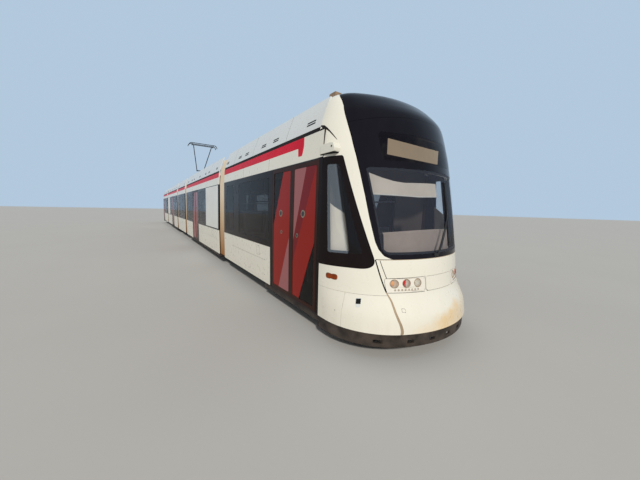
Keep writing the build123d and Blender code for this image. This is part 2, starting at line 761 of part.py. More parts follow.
# Cab: floor to the nose, dark apron under it
APRON_LOW_H = 150
APRON_IN, APRON_T = 22, 28
APRON_SLOTS = (-1000, -640, -320, 0, 320, 640, 1000)
with BuildPart() as cab_floor:
    add(
        low_floor(
            (
                (CAB_BACK, GANGWAY_FLOOR_H),
                (CAB_BACK + RAMP, BOGIE_FLOOR_H),
                (CAB_BOGIE_X + BOX_HALF_L, BOGIE_FLOOR_H),
                (CAB_DOOR[0], DOOR_FLOOR_H),
                (CAB_FRONT, DOOR_FLOOR_H),
            ),
            (CAB_BOGIE_X,),
            (CAB_BACK,),
        )
    )
    extrude(
        plan_section(DOOR_FLOOR_H - FLOOR_T, *NOSE[0][1:], NOSE_WALL + 6, CAB_FRONT - 1), amount=FLOOR_T
    )
    with Locations((PIVOTS[0], 0, up(GANGWAY_FLOOR_H))):
        Cylinder(DISC_R + DISC_GAP, 200, mode=Mode.SUBTRACT)
    sills(CAB_BOGIE_X + BOX_HALF_L, CAB_FRONT, (13500, 14300, 15000))
    jacking_pads(CAB_PADS)
    link_arm(PIVOTS[0], CAB_BACK + LINK_ROOT, LINK_LOW_H, True)
    hanger(CAB_BACK + LINK_ROOT, LINK_LOW_H, BOGIE_FLOOR_H - FLOOR_T / 2)
    with BuildSketch(Plane.XY.offset(up(APRON_LOW_H))) as apron:
        add(plan_section(APRON_LOW_H, *NOSE[0][1:], APRON_IN, CAB_FRONT - 1))
        add(plan_section(APRON_LOW_H, *NOSE[0][1:], APRON_IN + APRON_T, CAB_FRONT - 2), mode=Mode.SUBTRACT)
    extrude(apron.sketch, amount=SKIRT_H - APRON_LOW_H)
    with Locations(*[(NOSE_TIP, y, up(APRON_LOW_H + 70)) for y in APRON_SLOTS]):
        Box(2000, 90, 45, mode=Mode.SUBTRACT)
    tow_block()
save_ends(cab_floor.part, "cab_floor")

with BuildPart() as mid_floor:
    add(
        low_floor(
            (
                (MID_BACK, GANGWAY_FLOOR_H),
                (MID_BACK + RAMP, DOOR_FLOOR_H),
                (MID_FRONT - RAMP, DOOR_FLOOR_H),
                (MID_FRONT, GANGWAY_FLOOR_H),
            ),
            (),
            (MID_BACK, MID_FRONT - END_FRAME),
        )
    )
    sills(MID_BACK + END_FRAME, MID_FRONT - END_FRAME, (2800, 4200, 5800, 7300, 8800))
    jacking_pads(MID_PADS)
    for pivot, root in ((PIVOTS[0], MID_FRONT - 60), (PIVOTS[1], MID_BACK + 60)):
        with Locations((pivot, 0, up(GANGWAY_FLOOR_H - 12))):
            Cylinder(DISC_R, 24)
        link_arm(pivot, root, LINK_LOW_H + LINK_T + 2, False)
        hanger(root, LINK_LOW_H + LINK_T + 2, GANGWAY_FLOOR_H - FLOOR_T / 2)
        with Locations((pivot, 0, up(LINK_LOW_H + LINK_T))):
            Cylinder(PIN_R, 2 * LINK_T)
save_ends(mid_floor.part, "mid_floor")

with BuildPart() as centre_floor:
    add(
        low_floor(
            (
                (-CENTRE_END, GANGWAY_FLOOR_H),
                (-BOX_HALF_L, BOGIE_FLOOR_H),
                (BOX_HALF_L, BOGIE_FLOOR_H),
                (CENTRE_END, GANGWAY_FLOOR_H),
            ),
            (0,),
            (-CENTRE_END, CENTRE_END - END_FRAME),
        )
    )
    for side in (-1, 1):
        with Locations((side * PIVOTS[1], 0, up(GANGWAY_FLOOR_H))):
            Cylinder(DISC_R + DISC_GAP, 200, mode=Mode.SUBTRACT)
    for side in (-1, 1):
        root = side * (CENTRE_END - LINK_ROOT)
        link_arm(side * PIVOTS[1], root, LINK_LOW_H, True)
        hanger(root, LINK_LOW_H, BOGIE_FLOOR_H - FLOOR_T / 2)
save(centre_floor.part, "centre_floor")

# Bogies: outside frame beams with axle boxes, springs, brakes and motors
BEAM_Y, BEAM_W = 940, 120
BEAM_LOW_H, BEAM_HIGH_H = 250, 410
AXLE_H = WHEEL_DIA / 2
JOURNAL_R, JOURNAL_GAP = 60, 1
BOX_HALF = 125
BOGIE_ENDS = WHEELBASE / 2
SPRING_R = 95
CROSS_X = 280


def bogie(middle):
    """One bogie frame with its springs, track brakes and motors."""
    with BuildPart() as frame:
        for side in (-1, 1):
            with Locations((middle, side * BEAM_Y, up((BEAM_LOW_H + BEAM_HIGH_H) / 2))):
                Box(WHEELBASE + 2 * BOX_HALF, BEAM_W, BEAM_HIGH_H - BEAM_LOW_H)
            for end in (-1, 1):
                with Locations((middle + end * BOGIE_ENDS, side * BEAM_Y, up(AXLE_H))):
                    Box(2 * BOX_HALF, BEAM_W, 2 * BOX_HALF)
                with Locations((middle + end * BOGIE_ENDS, side * BEAM_Y, up(AXLE_H))):
                    Cylinder(JOURNAL_R + JOURNAL_GAP, 2 * BEAM_W, rotation=(90, 0, 0), mode=Mode.SUBTRACT)
            for end in (-1, 1):
                low, high = up(BEAM_HIGH_H), up(BOX_TOP_H - BOX_T)
                with Locations((middle + end * SPRING_R * 1.6, side * BEAM_Y, (low + high) / 2)):
                    Cylinder(SPRING_R, high - low - 0.6)
            with Locations((middle, side * GAUGE / 2, up(65))):
                Box(720, 66, 70)
            with Locations((middle, side * GAUGE / 2, up(175))):
                Box(460, 30, 170)
        for end in (-1, 1):
            with Locations((middle + end * CROSS_X, 0, up(BEAM_LOW_H + 60))):
                Box(140, 2 * BEAM_Y, 120)
            with Locations((middle + end * (CROSS_X + 270), 0, up(BEAM_LOW_H + 40))):
                Box(460, 760, 200)
    return frame.part


save_ends(bogie(CAB_BOGIE_X), "cab_bogie")
save(bogie(0), "centre_bogie")

# Wheelset, half section: distance from the middle plane, radius
BACK = GAUGE / 2 - 37
TREAD = WHEEL_DIA / 2
WHEEL_W = 125
AXLE_HALF = 1010
WHEELSET = (
    (0, 0),
    (0, 70),
    (BACK - 5, 70),
    (BACK - 5, 115),
    (BACK + 25, 115),
    (BACK + 55, 240),
    (BACK, 262),
    (BACK, TREAD + 6),
    (BACK + 9, TREAD + FLANGE),
    (BACK + 21, TREAD + FLANGE - 4),
    (BACK + 33, TREAD),
    (BACK + WHEEL_W, TREAD - 4),
    (BACK + WHEEL_W, 262),
    (BACK + 85, 240),
    (BACK + 70, 115),
    (BACK + 105, 115),
    (BACK + 105, JOURNAL_R),
    (AXLE_HALF, JOURNAL_R),
    (AXLE_HALF, 0),
)


def wheelset(station):
    """An axle with its two wheels, as one turned piece."""
    axle = Plane(origin=(station, 0, up(AXLE_H)), x_dir=(0, 1, 0), z_dir=(1, 0, 0))
    with BuildPart() as wheels:
        with BuildSketch(axle) as half:
            with BuildLine():
                Polyline(*WHEELSET, close=True)
            make_face()
            mirror(about=Plane.YZ)
        revolve(half.sketch, axis=Axis((station, 0, up(AXLE_H)), (0, 1, 0)))
    return wheels.part


save_ends(wheelset(CAB_BOGIE_X + WHEELBASE / 2), "wheelset_outer")
save_ends(wheelset(CAB_BOGIE_X - WHEELBASE / 2), "wheelset_inner")
save_ends(wheelset(WHEELBASE / 2), "wheelset_centre")

# Seats: station, facing (+1 forwards), floor height under them
SEAT_W, SEAT_LONG, SEAT_T, BACK_TALL = 890, 420, 70, 620
SEAT_TOP = 450
SEAT_GAP = 8
CAB_SEATS = ((10560, 1), (11480, -1), (11820, 1), (12740, -1))
MID_SEATS = ((3000, 1), (3800, -1), (6300, 1), (7200, -1), (7600, 1), (8500, -1))
CENTRE_SEATS = ((-1080, 1), (-160, -1), (180, 1), (1100, -1))
POLE_R = 17
CEILING_H = DECK_H


def seat_pairs(table, floor_h):
    """Double seats on both sides of the aisle, each with its pedestal."""
    for station, facing in table:
        back = station - facing * SEAT_LONG / 2
        with BuildSketch(Plane.XZ) as outline:
            with BuildLine():
                Polyline(
                    (back - facing * 60, up(floor_h)),
                    (back + facing * 260, up(floor_h)),
                    (back + facing * 260, up(floor_h + SEAT_TOP - SEAT_T)),
                    (back + facing * SEAT_LONG, up(floor_h + SEAT_TOP - SEAT_T + 10)),
                    (back + facing * SEAT_LONG, up(floor_h + SEAT_TOP)),
                    (back + facing * 60, up(floor_h + SEAT_TOP - 20)),
                    (back - facing * 40, up(floor_h + SEAT_TOP + BACK_TALL)),
                    (back - facing * 90, up(floor_h + SEAT_TOP + BACK_TALL)),
                    close=True,
                )
            make_face()
        for side in (-1, 1):
            middle = side * (skin(HEAD_H) - PANEL - SEAT_GAP - SEAT_W / 2)
            shifted = outline.sketch.moved(Location((0, middle, 0)))
            extrude(shifted, amount=SEAT_W / 2, both=True)


def poles(stations, across, floor_h):
    """Grab poles from the floor to the ceiling."""
    low, high = up(floor_h), up(CEILING_H)
    for station in stations:
        for side in (-1, 1):
            with Locations((station, side * across, (low + high) / 2)):
                Cylinder(POLE_R, high - low - 0.6)


BULKHEAD_X, BULKHEAD_T = 15000, 28
OPENING_W, OPENING_TALL, OPENING_H = 760, 1200, 1700
DESK_X, DESK_H = 15560, 1080
with BuildPart() as cab_seats:
    seat_pairs(CAB_SEATS, BOX_TOP_H)
    poles((13560, 14850), 560, DOOR_FLOOR_H)
with BuildPart() as desk:
    heights = ((DOOR_FLOOR_H, 0), (820, 2), (DESK_H, 3))
    loft([plan_section(high, *NOSE[row][1:], NOSE_WALL + 12).face() for high, row in heights], ruled=True)
    with Locations((DESK_X + 1000, 0, up(700))):
        Box(2000, 2 * WIDTH, 1500, mode=Mode.INTERSECT)
    with Locations((DESK_X, 0, up(DOOR_FLOOR_H + 300))):
        Box(560, 700, 600, mode=Mode.SUBTRACT)
with BuildPart() as cab_inside:
    add(cab_seats.part)
    add(desk.part)
save_ends(cab_inside.part, "cab_inside")

# Driver's place: the bulkhead behind it, open above the waist, and the seat
with BuildPart() as bulkhead:
    with BuildSketch(Plane.YZ.offset(BULKHEAD_X - POST + 12)) as plate:
        with Locations((0, up((DOOR_FLOOR_H + CEILING_H) / 2))):
            Rectangle(2 * (skin(HEAD_H) - LEAF_DEEP - 12), CEILING_H - DOOR_FLOOR_H - 0.6)
        with Locations((0, up(OPENING_H))):
            RectangleRounded(OPENING_W, OPENING_TALL, 60, mode=Mode.SUBTRACT)
    extrude(plate.sketch, amount=BULKHEAD_T)
with BuildPart() as driver_seat:
    with Locations((15240, 0, up(DOOR_FLOOR_H + 200))):
        Cylinder(70, 400)
    with Locations((15250, 0, up(DOOR_FLOOR_H + 440))):
        Box(440, 460, 90)
    with Locations((15060, 0, up(DOOR_FLOOR_H + 760))):
        Box(80, 430, 640)
with BuildPart() as driver_place:
    add(bulkhead.part)
    add(driver_seat.part)
save_ends(driver_place.part, "driver_place")

with BuildPart() as mid_inside:
    seat_pairs(MID_SEATS, DOOR_FLOOR_H)
    poles((4450, 5620), 560, DOOR_FLOOR_H)
save_ends(mid_inside.part, "mid_inside")
with BuildPart() as centre_inside:
    seat_pairs(CENTRE_SEATS, BOX_TOP_H)
save(centre_inside.part, "centre_inside")

# Bellows: an inverted U of folds in each gap, carried by the middle modules
BELLOWS_W, BELLOWS_IN = 1262, 1150
FOLDS = 9
FOLD_DEEP = 55


def bellows_outline(inset):
    """Half-widths and heights of the bellows' outer line, drawn smaller by an inset."""
    return (
        (BELLOWS_W - inset, up(SKIRT_H + 10)),
        (BELLOWS_W - inset, up(WAIST_H)),
        (BELLOWS_W - 30 - inset, up(HEAD_H)),
        (BELLOWS_W - 62 - inset, up(GUTTER_H)),
        (skin(BELLOWS_TOP_H) - 40 - inset, up(BELLOWS_TOP_H - 10 - inset)),
    )


def arch(start, length, outer, inner):
    """A length of inverted U between two insets, added to the part being built."""
    outside = bellows_outline(outer)
    inside = bellows_outline(inner)
    with BuildSketch(Plane.YZ.offset(start)) as section:
        with BuildLine():
            Polyline(
                *outside,
                *[(-y, z) for y, z in reversed(outside)],
                *[(-y, z) for y, z in inside],
                *reversed(inside),
                close=True,
            )
        make_face()
    extrude(section.sketch, amount=length)


def bellows(start, end):
    """One gangway bellows, its folds as ribs on a thin wall."""
    pitch = (end - start) / FOLDS
    with BuildPart() as folds:
        arch(start, end - start, FOLD_DEEP, FOLD_DEEP + 25)
        for fold in range(FOLDS):
            arch(start + (fold + 0.28) * pitch, 0.44 * pitch, 0, FOLD_DEEP + 10)
    return folds.part


BELLOWS_GAP = 1
with BuildPart() as mid_bellows:
    add(bellows(MID_FRONT, CAB_BACK - BELLOWS_GAP))
    add(bellows(CENTRE_END + BELLOWS_GAP, MID_BACK))
save_ends(mid_bellows.part, "mid_bellows")

# Pantograph, raised as in the photograph: pivots in side view, station and height
PANTO_BASE = (-200, 3290)
LOWER_ARM, UPPER_ARM = 1100, 1750
LOWER_RISE, UPPER_RISE = 54.1, 53.1
ROD_BASE = (PANTO_BASE[0] + 20, PANTO_BASE[1] - 150)
TAIL, TAIL_TURN = 100, 254
KNEE = (
    PANTO_BASE[0] - LOWER_ARM * cos(radians(LOWER_RISE)),
    PANTO_BASE[1] + LOWER_ARM * sin(radians(LOWER_RISE)),
)
HEAD = (KNEE[0] + UPPER_ARM * cos(radians(UPPER_RISE)), KNEE[1] + UPPER_ARM * sin(radians(UPPER_RISE)))
TAIL_RISE = UPPER_RISE + TAIL_TURN
ROD_TOP = (KNEE[0] + TAIL * cos(radians(TAIL_RISE)), KNEE[1] + TAIL * sin(radians(TAIL_RISE)))
KNEE_HALF, HEAD_HALF = 200, 520
TUBE_R = 24
KNEE_PIN_R = 28
TAIL_Y, ROD_Y = 165, 200
ROD_PIN_R, ROD_EYE_R = 10, 26


def rod(start, end, radius):
    """A round bar from one point to another, added to the part being built."""
    span = Vector(*end) - Vector(*start)
    with BuildSketch(Plane(origin=start, z_dir=span.normalized())) as ring:
        Circle(radius)
    extrude(ring.sketch, amount=span.length)


def at(point, across=0):
    """A point of the pantograph's side view, as a point in this frame."""
    return (point[0], across, up(point[1]))


def cross_tube(point, half, radius):
    """A tube across the tram at a pivot, added to the part being built."""
    rod(at(point, -half), at(point, half), radius)


DECK_TOP_H = DECK_H + DECK_T
INSULATORS = ((-650, 420), (-650, -420), (450, 420), (450, -420))
with BuildPart() as panto_base:
    for x, y in INSULATORS:
        with Locations((x, y, up(DECK_TOP_H + 110))):
            Cylinder(45, 219.4)
        for shed in range(3):
            with Locations((x, y, up(DECK_TOP_H + 50 + 60 * shed))):
                Cylinder(70, 16)
    for y in (-420, 420):
        with Locations((-100, y, up(DECK_TOP_H + 250))):
            Box(1300, 60, 60)
    for x in (-650, 450):
        with Locations((x, 0, up(DECK_TOP_H + 240))):
            Box(60, 840, 40)
    with Locations((PANTO_BASE[0], 0, up(DECK_TOP_H + 250))):
        Box(120, 840, 60)
    with Locations((PANTO_BASE[0], ROD_Y - 10, up(DECK_TOP_H + 250))):
        Box(200, 80, 100, mode=Mode.SUBTRACT)
    for y in (-330, 330):
        with Locations((PANTO_BASE[0], y, up((DECK_TOP_H + 250 + PANTO_BASE[1]) / 2 + 20))):
            Box(110, 30, PANTO_BASE[1] - DECK_TOP_H - 250 + 100)
        with Locations((PANTO_BASE[0], y, up(PANTO_BASE[1]))):
            Cylinder(31, 60, rotation=(90, 0, 0), mode=Mode.SUBTRACT)
    rod(at(ROD_BASE, ROD_Y - 12), at(ROD_BASE, ROD_Y + 60), ROD_PIN_R)
save(panto_base.part, "panto_base")

with BuildPart() as panto_lower:
    cross_tube(PANTO_BASE, 380, 30)
    rod(at(PANTO_BASE), at(KNEE), 45)
    cross_tube(KNEE, 228, KNEE_PIN_R)
save(panto_lower.part, "panto_lower")

with BuildPart() as panto_upper:
    for side in (-1, 1):
        rod(at(KNEE, side * KNEE_HALF), at(HEAD, side * HEAD_HALF), TUBE_R)
        rod(at(KNEE, side * 140), at(KNEE, side * 230), 40)
    rod(at(KNEE, TAIL_Y), at(ROD_TOP, TAIL_Y), 16)
    rod(at(ROD_TOP, TAIL_Y - 12), at(ROD_TOP, TAIL_Y + 14), ROD_EYE_R)
    cross_tube(HEAD, 606, 20)
    with Locations(at(KNEE)):
        Cylinder(KNEE_PIN_R + 1, 500, rotation=(90, 0, 0), mode=Mode.SUBTRACT)
save(panto_upper.part, "panto_upper")

# Head: two contact strips on end frames, with drooping horns
STRIP_HALF, STRIP_SPAN, HORN_DROP = 500, 170, 160
HEAD_LIFT = 70
with BuildPart() as panto_head:
    for side in (-1, 1):
        with BuildSketch(Plane(origin=(HEAD[0], side * 600, 0), x_dir=(1, 0, 0), z_dir=(0, -1, 0))) as cheek:
            with BuildLine():
                Polyline(
                    (-STRIP_SPAN - 25, up(HEAD[1] + HEAD_LIFT)),
                    (STRIP_SPAN + 25, up(HEAD[1] + HEAD_LIFT)),
                    (45, up(HEAD[1] - 45)),
                    (-45, up(HEAD[1] - 45)),
                    close=True,
                )
            make_face()
        extrude(cheek.sketch, amount=8, both=True)
        with Locations((HEAD[0], side * 600, up(HEAD[1]))):
            Cylinder(21, 40, rotation=(90, 0, 0), mode=Mode.SUBTRACT)
    for side in (-1, 1):
        x = HEAD[0] + side * STRIP_SPAN
        with BuildSketch(Plane.YZ.offset(x)) as strip_view:
            top = up(HEAD[1] + HEAD_LIFT)
            with BuildLine():
                horn = STRIP_HALF + 120
                tip = top - HORN_DROP
                Line((0, top), (horn, top))
                ThreePointArc((horn, top), (STRIP_HALF + 230, top - 40), (STRIP_HALF + 290, tip))
                Line((STRIP_HALF + 290, tip), (STRIP_HALF + 320, tip))
                ThreePointArc((STRIP_HALF + 320, tip), (STRIP_HALF + 252, top - 14), (horn, top + 32))
                Polyline((STRIP_HALF + 120, top + 32), (0, top + 32), (0, top))
            make_face()
            mirror(about=Plane.YZ)
        extrude(strip_view.sketch, amount=22, both=True)
save(panto_head.part, "panto_head")

with BuildPart() as panto_rod:
    rod(at(ROD_BASE, ROD_Y), at(ROD_TOP, ROD_Y), 12)
    rod(at(ROD_TOP, ROD_Y - 10), at(ROD_TOP, ROD_Y + 14), ROD_EYE_R)
    rod(at(ROD_BASE, ROD_Y - 10), at(ROD_BASE, ROD_Y + 14), ROD_EYE_R)
    with Locations(at(ROD_BASE, ROD_Y)):
        Cylinder(ROD_PIN_R + 1, 40, rotation=(90, 0, 0), mode=Mode.SUBTRACT)
save(panto_rod.part, "panto_rod")
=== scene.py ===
"""Looks of the articulated low-floor tram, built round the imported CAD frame.

Metres throughout. +X points to the end shown in the photograph, +Z up. Heights named here are
above the rail top, and up() turns one into a height in the frame. Pieces are made for the +X
end and a twin turned half round serves the other end.
"""
import math

import bpy
import numpy as np
from mathutils import Matrix, Vector
from mathutils.geometry import tessellate_polygon


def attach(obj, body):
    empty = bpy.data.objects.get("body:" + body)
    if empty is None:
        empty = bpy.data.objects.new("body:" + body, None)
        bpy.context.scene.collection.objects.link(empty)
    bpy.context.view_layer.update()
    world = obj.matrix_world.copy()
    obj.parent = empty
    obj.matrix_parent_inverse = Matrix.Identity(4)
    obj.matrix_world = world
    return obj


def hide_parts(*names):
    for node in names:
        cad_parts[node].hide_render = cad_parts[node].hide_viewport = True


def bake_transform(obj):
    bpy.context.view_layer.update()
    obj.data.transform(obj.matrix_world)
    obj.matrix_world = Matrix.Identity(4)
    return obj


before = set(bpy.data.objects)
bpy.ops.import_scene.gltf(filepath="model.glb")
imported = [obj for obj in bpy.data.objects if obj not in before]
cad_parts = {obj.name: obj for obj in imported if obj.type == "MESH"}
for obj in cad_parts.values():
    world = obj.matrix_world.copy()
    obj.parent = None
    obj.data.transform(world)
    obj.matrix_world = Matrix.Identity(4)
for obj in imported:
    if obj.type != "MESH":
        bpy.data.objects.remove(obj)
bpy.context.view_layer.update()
scene = bpy.context.scene

RAIL = 0.026  # rail top above the frame's zero, which is at the flanges' tips
ENDS = (("a", 0), ("b", math.pi))
OUTWARD, UPWARD, FORWARD = (0, -1, 0), (0, 0, 1), (1, 0, 0)


def up(height):
    """A height above the rail top, as a height in the frame."""
    return height + RAIL


# Materials
class Paint:
    """A material under construction: its node tree and the shader that it ends in."""

    def __init__(self, name, colour, rough=0.5, metal=0.0, **inputs):
        self.material = bpy.data.materials.new(name)
        self.material.use_nodes = True
        self.tree = self.material.node_tree
        self.shader = self.tree.nodes["Principled BSDF"]
        self.set("Base Color", (*colour, 1))
        self.set("Roughness", rough)
        self.set("Metallic", metal)
        for key, value in inputs.items():
            self.set(key.replace("_", " "), value)
        self.place = self.tree.nodes.new("ShaderNodeTexCoord").outputs["Object"]

    def set(self, key, value):
        """Sets one of the shader's inputs."""
        self.shader.inputs[key].default_value = value

    def link(self, output, target):
        """Links an output to an input."""
        self.tree.links.new(output, target)

    def node(self, kind, **values):
        """A node with its inputs set by name, or linked where a value is an output."""
        node = self.tree.nodes.new(kind)
        for key, value in values.items():
            if hasattr(node, key):
                setattr(node, key, value)
                continue
            name = key.replace("_", " ")
            if isinstance(value, bpy.types.NodeSocket):
                self.link(value, node.inputs[name])
            else:
                node.inputs[name].default_value = value
        return node

    def stretched(self, scale):
        """Object coordinates scaled by three factors."""
        return self.node("ShaderNodeMapping", Vector=self.place, Scale=scale).outputs[0]

    def noise(self, scale, detail=4, stretch=None, rough=0.55):
        """Noise from 0 to 1 over the object, stretched by three factors if given."""
        where = self.stretched(stretch) if stretch else self.place
        node = self.node("ShaderNodeTexNoise", Vector=where, Scale=scale, Detail=detail, Roughness=rough)
        return node.outputs[0]

    def ramp(self, value, stops):
        """A greyscale or coloured ramp through (position, grey or colour) stops."""
        node = self.node("ShaderNodeValToRGB", Fac=value)
        ramp = node.color_ramp
        while len(ramp.elements) < len(stops):
            ramp.elements.new(0.5)
        for element, (position, tone) in zip(ramp.elements, stops):
            element.position = position
            element.color = (tone, tone, tone, 1) if isinstance(tone, (int, float)) else (*tone, 1)
        return node.outputs[0]

    def mix(self, share, first, second, blend="MIX"):
        """Mixes two colours by a share."""
        node = self.tree.nodes.new("ShaderNodeMix")
        node.data_type = "RGBA"
        node.blend_type = blend
        for index, value in ((0, share), (6, first), (7, second)):
            if isinstance(value, bpy.types.NodeSocket):
                self.link(value, node.inputs[index])
            elif isinstance(value, (int, float)):
                node.inputs[index].default_value = value
            else:
                node.inputs[index].default_value = (*value, 1)
        return node.outputs[2]

    def maths(self, operation, first, second=0.0, clamp=False):
        """One sum of two values or outputs, kept within 0 and 1 if asked."""
        node = self.tree.nodes.new("ShaderNodeMath")
        node.operation = operation
        node.use_clamp = clamp
        for index, value in enumerate((first, second)):
            if isinstance(value, bpy.types.NodeSocket):
                self.link(value, node.inputs[index])
            else:
                node.inputs[index].default_value = value
        return node.outputs[0]

    def axis(self, name):
        """One of the object coordinates, as a number."""
        return self.node("ShaderNodeSeparateXYZ", Vector=self.place).outputs[name]

    def tint(self, output):
        """Colours the shader by an output."""
        self.link(output, self.shader.inputs["Base Color"])
        return self

    def rough(self, output):
        """Sets the shader's roughness by an output."""
        self.link(output, self.shader.inputs["Roughness"])
        return self

    def bump(self, value, strength, distance):
        """Gives the surface a fine relief by a value."""
        node = self.node("ShaderNodeBump", Strength=strength, Distance=distance, Height=value)
        self.link(node.outputs[0], self.shader.inputs["Normal"])
        return self


def worn(
    name, colour, rough=0.5, metal=0.0, vary=0.12, scale=2.0, grain=60, bump=0.15, depth=0.002, **inputs
):
    """A finish with cloudy colour changes, uneven gloss and a fine grain."""
    paint = Paint(name, colour, rough, metal, **inputs)
    cloud = paint.noise(scale, 6)
    dark = tuple(c * (1 - 2 * vary) for c in colour)
    light = tuple(min(1, c * (1 + vary)) for c in colour)
    paint.tint(paint.ramp(cloud, ((0.3, dark), (0.7, light))))
    fine = paint.noise(grain, 3)
    paint.rough(paint.ramp(fine, ((0.25, max(0.02, rough - 0.08)), (0.75, min(1, rough + 0.1)))))
    return paint.bump(fine, bump, depth)


def body_paint(name, colour, warm):
    """Off-white coach paint with road film towards the bottom, rain streaks and faint blotches."""
    paint = Paint(name, colour, 0.3, Coat_Weight=0.35, Coat_Roughness=0.12)
    blotch = paint.noise(1.3, 5)
    base = paint.ramp(blotch, ((0.3, tuple(c * 0.96 for c in colour)), (0.7, colour)))
    streak = paint.noise(1.0, 6, (9, 9, 0.7), 0.7)
    height = paint.axis("Z")
    low = paint.maths("SUBTRACT", 1.0, paint.maths("DIVIDE", height, 1.15), True)
    thin = paint.maths("POWER", low, 1.6)
    film = paint.maths("MULTIPLY", thin, paint.ramp(streak, ((0.3, 0.25), (0.75, 1.0))))
    dusty = paint.mix(paint.maths("MULTIPLY", film, 0.30), base, warm)
    marks = paint.maths("MULTIPLY", paint.ramp(streak, ((0.60, 0.0), (0.9, 1.0))), 0.05)
    paint.tint(paint.mix(marks, dusty, tuple(c * 0.6 for c in warm)))
    paint.rough(paint.ramp(paint.noise(14, 5), ((0.3, 0.24), (0.75, 0.42))))
    return paint.bump(paint.noise(2.2, 2), 0.04, 0.01)


CREAM = (0.85, 0.82, 0.72)
SHROUD = (0.73, 0.745, 0.735)
DUST = (0.52, 0.42, 0.29)
white_paint = body_paint("coach_white", CREAM, DUST)
shroud_paint = body_paint("shroud_grey", SHROUD, (0.45, 0.43, 0.38))


def nose_paint():
    """The body paint with the brown splash over the lower corner of the bumper."""
    paint = body_paint("nose_white", CREAM, DUST)
    clean = paint.shader.inputs["Base Color"].links[0].from_socket
    across, height = paint.axis("Y"), paint.axis("Z")
    cloud = paint.noise(3.2, 7, None, 0.62)
    line = paint.maths("ADD", paint.maths("MULTIPLY", across, 0.20), 0.60)
    ragged = paint.maths("ADD", line, paint.maths("MULTIPLY", paint.maths("SUBTRACT", cloud, 0.5), 0.28))
    below_line = paint.maths("DIVIDE", paint.maths("SUBTRACT", ragged, height), 0.10, True)
    from_left = paint.maths("DIVIDE", paint.maths("ADD", across, 0.72), 0.55, True)
    from_right = paint.maths("DIVIDE", paint.maths("SUBTRACT", 0.75, across), 0.35, True)
    share = paint.maths("MULTIPLY", paint.maths("MULTIPLY", below_line, from_left), from_right)
    mottled = paint.maths("MULTIPLY", share, paint.ramp(cloud, ((0.30, 0.35), (0.70, 1.0))))
    stained = paint.mix(paint.maths("MULTIPLY", mottled, 0.95, True), clean, (0.78, 0.55, 0.27))
    return paint.tint(stained)


bumper_paint = nose_paint()


def gloss_black(name, colour, rough):
    """Black gloss with a faint smear of dirt."""
    paint = Paint(name, colour, rough, Specular_IOR_Level=0.1)
    smear = paint.noise(1.1, 6, (1, 1, 0.35), 0.65)
    paint.tint(paint.ramp(smear, ((0.35, colour), (0.8, tuple(c * 1.9 + 0.002 for c in colour)))))
    paint.rough(paint.ramp(paint.noise(5, 6), ((0.3, rough), (0.8, rough + 0.16))))
    return paint


mask_black = gloss_black("mask_black", (0.006, 0.005, 0.008), 0.07)
band_black = gloss_black("band_black", (0.007, 0.004, 0.004), 0.16)


def tinted(name, colour, alpha, rough=0.03, shine=0.4):
    """See-through glass: dark tint, sharp reflections and a little dust."""
    paint = Paint(name, colour, rough, Specular_IOR_Level=shine)
    dust = paint.ramp(paint.noise(4, 6, (1, 1, 0.5), 0.7), ((0.5, 0.0), (0.95, 1.0)))
    share = paint.maths("MULTIPLY", dust, 0.06)
    paint.tint(paint.mix(share, colour, (0.5, 0.44, 0.36)))
    cover = paint.maths("ADD", paint.maths("MULTIPLY", share, 0.8), alpha, True)
    paint.link(cover, paint.shader.inputs["Alpha"])
    return paint


dark_glass = tinted("dark_glass", (0.010, 0.009, 0.010), 0.50, 0.03, 0.20)
clear_glass = tinted("clear_glass", (0.085, 0.095, 0.135), 0.26, 0.03, 0.3)


def side_pane_painted_reflection():
    """The cab's side pane with a painted reflection: pale sky behind a slanted line and dark ahead of it."""
    paint = tinted("pane_painted_reflection", (0.21, 0.27, 0.33), 0.42, 0.03, 0.3)
    station = paint.maths("ABSOLUTE", paint.axis("X"))
    line = paint.maths("SUBTRACT", 15.790, paint.maths("MULTIPLY", paint.axis("Z"), 0.203))
    share = paint.maths("DIVIDE", paint.maths("SUBTRACT", line, station), 0.03, True)
    # Painted reflection: pale sky behind the line and dark ahead of it, where the pane is also less
    # see-through
    paint.tint(paint.mix(share, (0.010, 0.009, 0.010), (0.44, 0.54, 0.66)))
    alpha = paint.maths("ADD", paint.maths("MULTIPLY", share, -0.42), 0.62)
    paint.link(alpha, paint.shader.inputs["Alpha"])
    return paint


pane_painted_reflection = side_pane_painted_reflection()
inner_glass = tinted("inner_glass", (0.20, 0.22, 0.24), 0.04, 0.03, 0.2)
mask_glass = tinted("mask_glass", (0.006, 0.005, 0.008), 0.82, 0.07, 0.1)
lens_glass = tinted("lens_glass", (0.75, 0.76, 0.72), 0.22, 0.05)

leaf_brown = worn(
    "leaf_brown", (0.042, 0.015, 0.010), 0.32, vary=0.15, grain=90, bump=0.05, Specular_IOR_Level=0.1
)
seal_black = worn("seal_rubber", (0.012, 0.012, 0.012), 0.62, vary=0.1, grain=200, bump=0.2, depth=0.001)
gap_black = worn("gap_black", (0.008, 0.007, 0.006), 0.85, vary=0.1)
stripe_red = worn(
    "stripe_red", (0.70, 0.012, 0.040), 0.35, vary=0.06, scale=3, grain=30, bump=0.03, Specular_IOR_Level=0.08
)
film_red = Paint("film_red", (0.29, 0.020, 0.015), 0.14, Specular_IOR_Level=0.08)
film_pink = Paint("film_pink", (0.35, 0.130, 0.135), 0.14, Specular_IOR_Level=0.08)
underframe = worn(
    "underframe", (0.060, 0.045, 0.036), 0.8, vary=0.3, scale=6, grain=90, bump=0.5, depth=0.003
)
bogie_paint = worn(
    "bogie_paint", (0.075, 0.060, 0.048), 0.75, vary=0.35, scale=9, grain=110, bump=0.5, depth=0.003
)
alloy = worn("alloy", (0.55, 0.55, 0.54), 0.38, 0.9, vary=0.1, scale=6, grain=160, bump=0.1, depth=0.001)
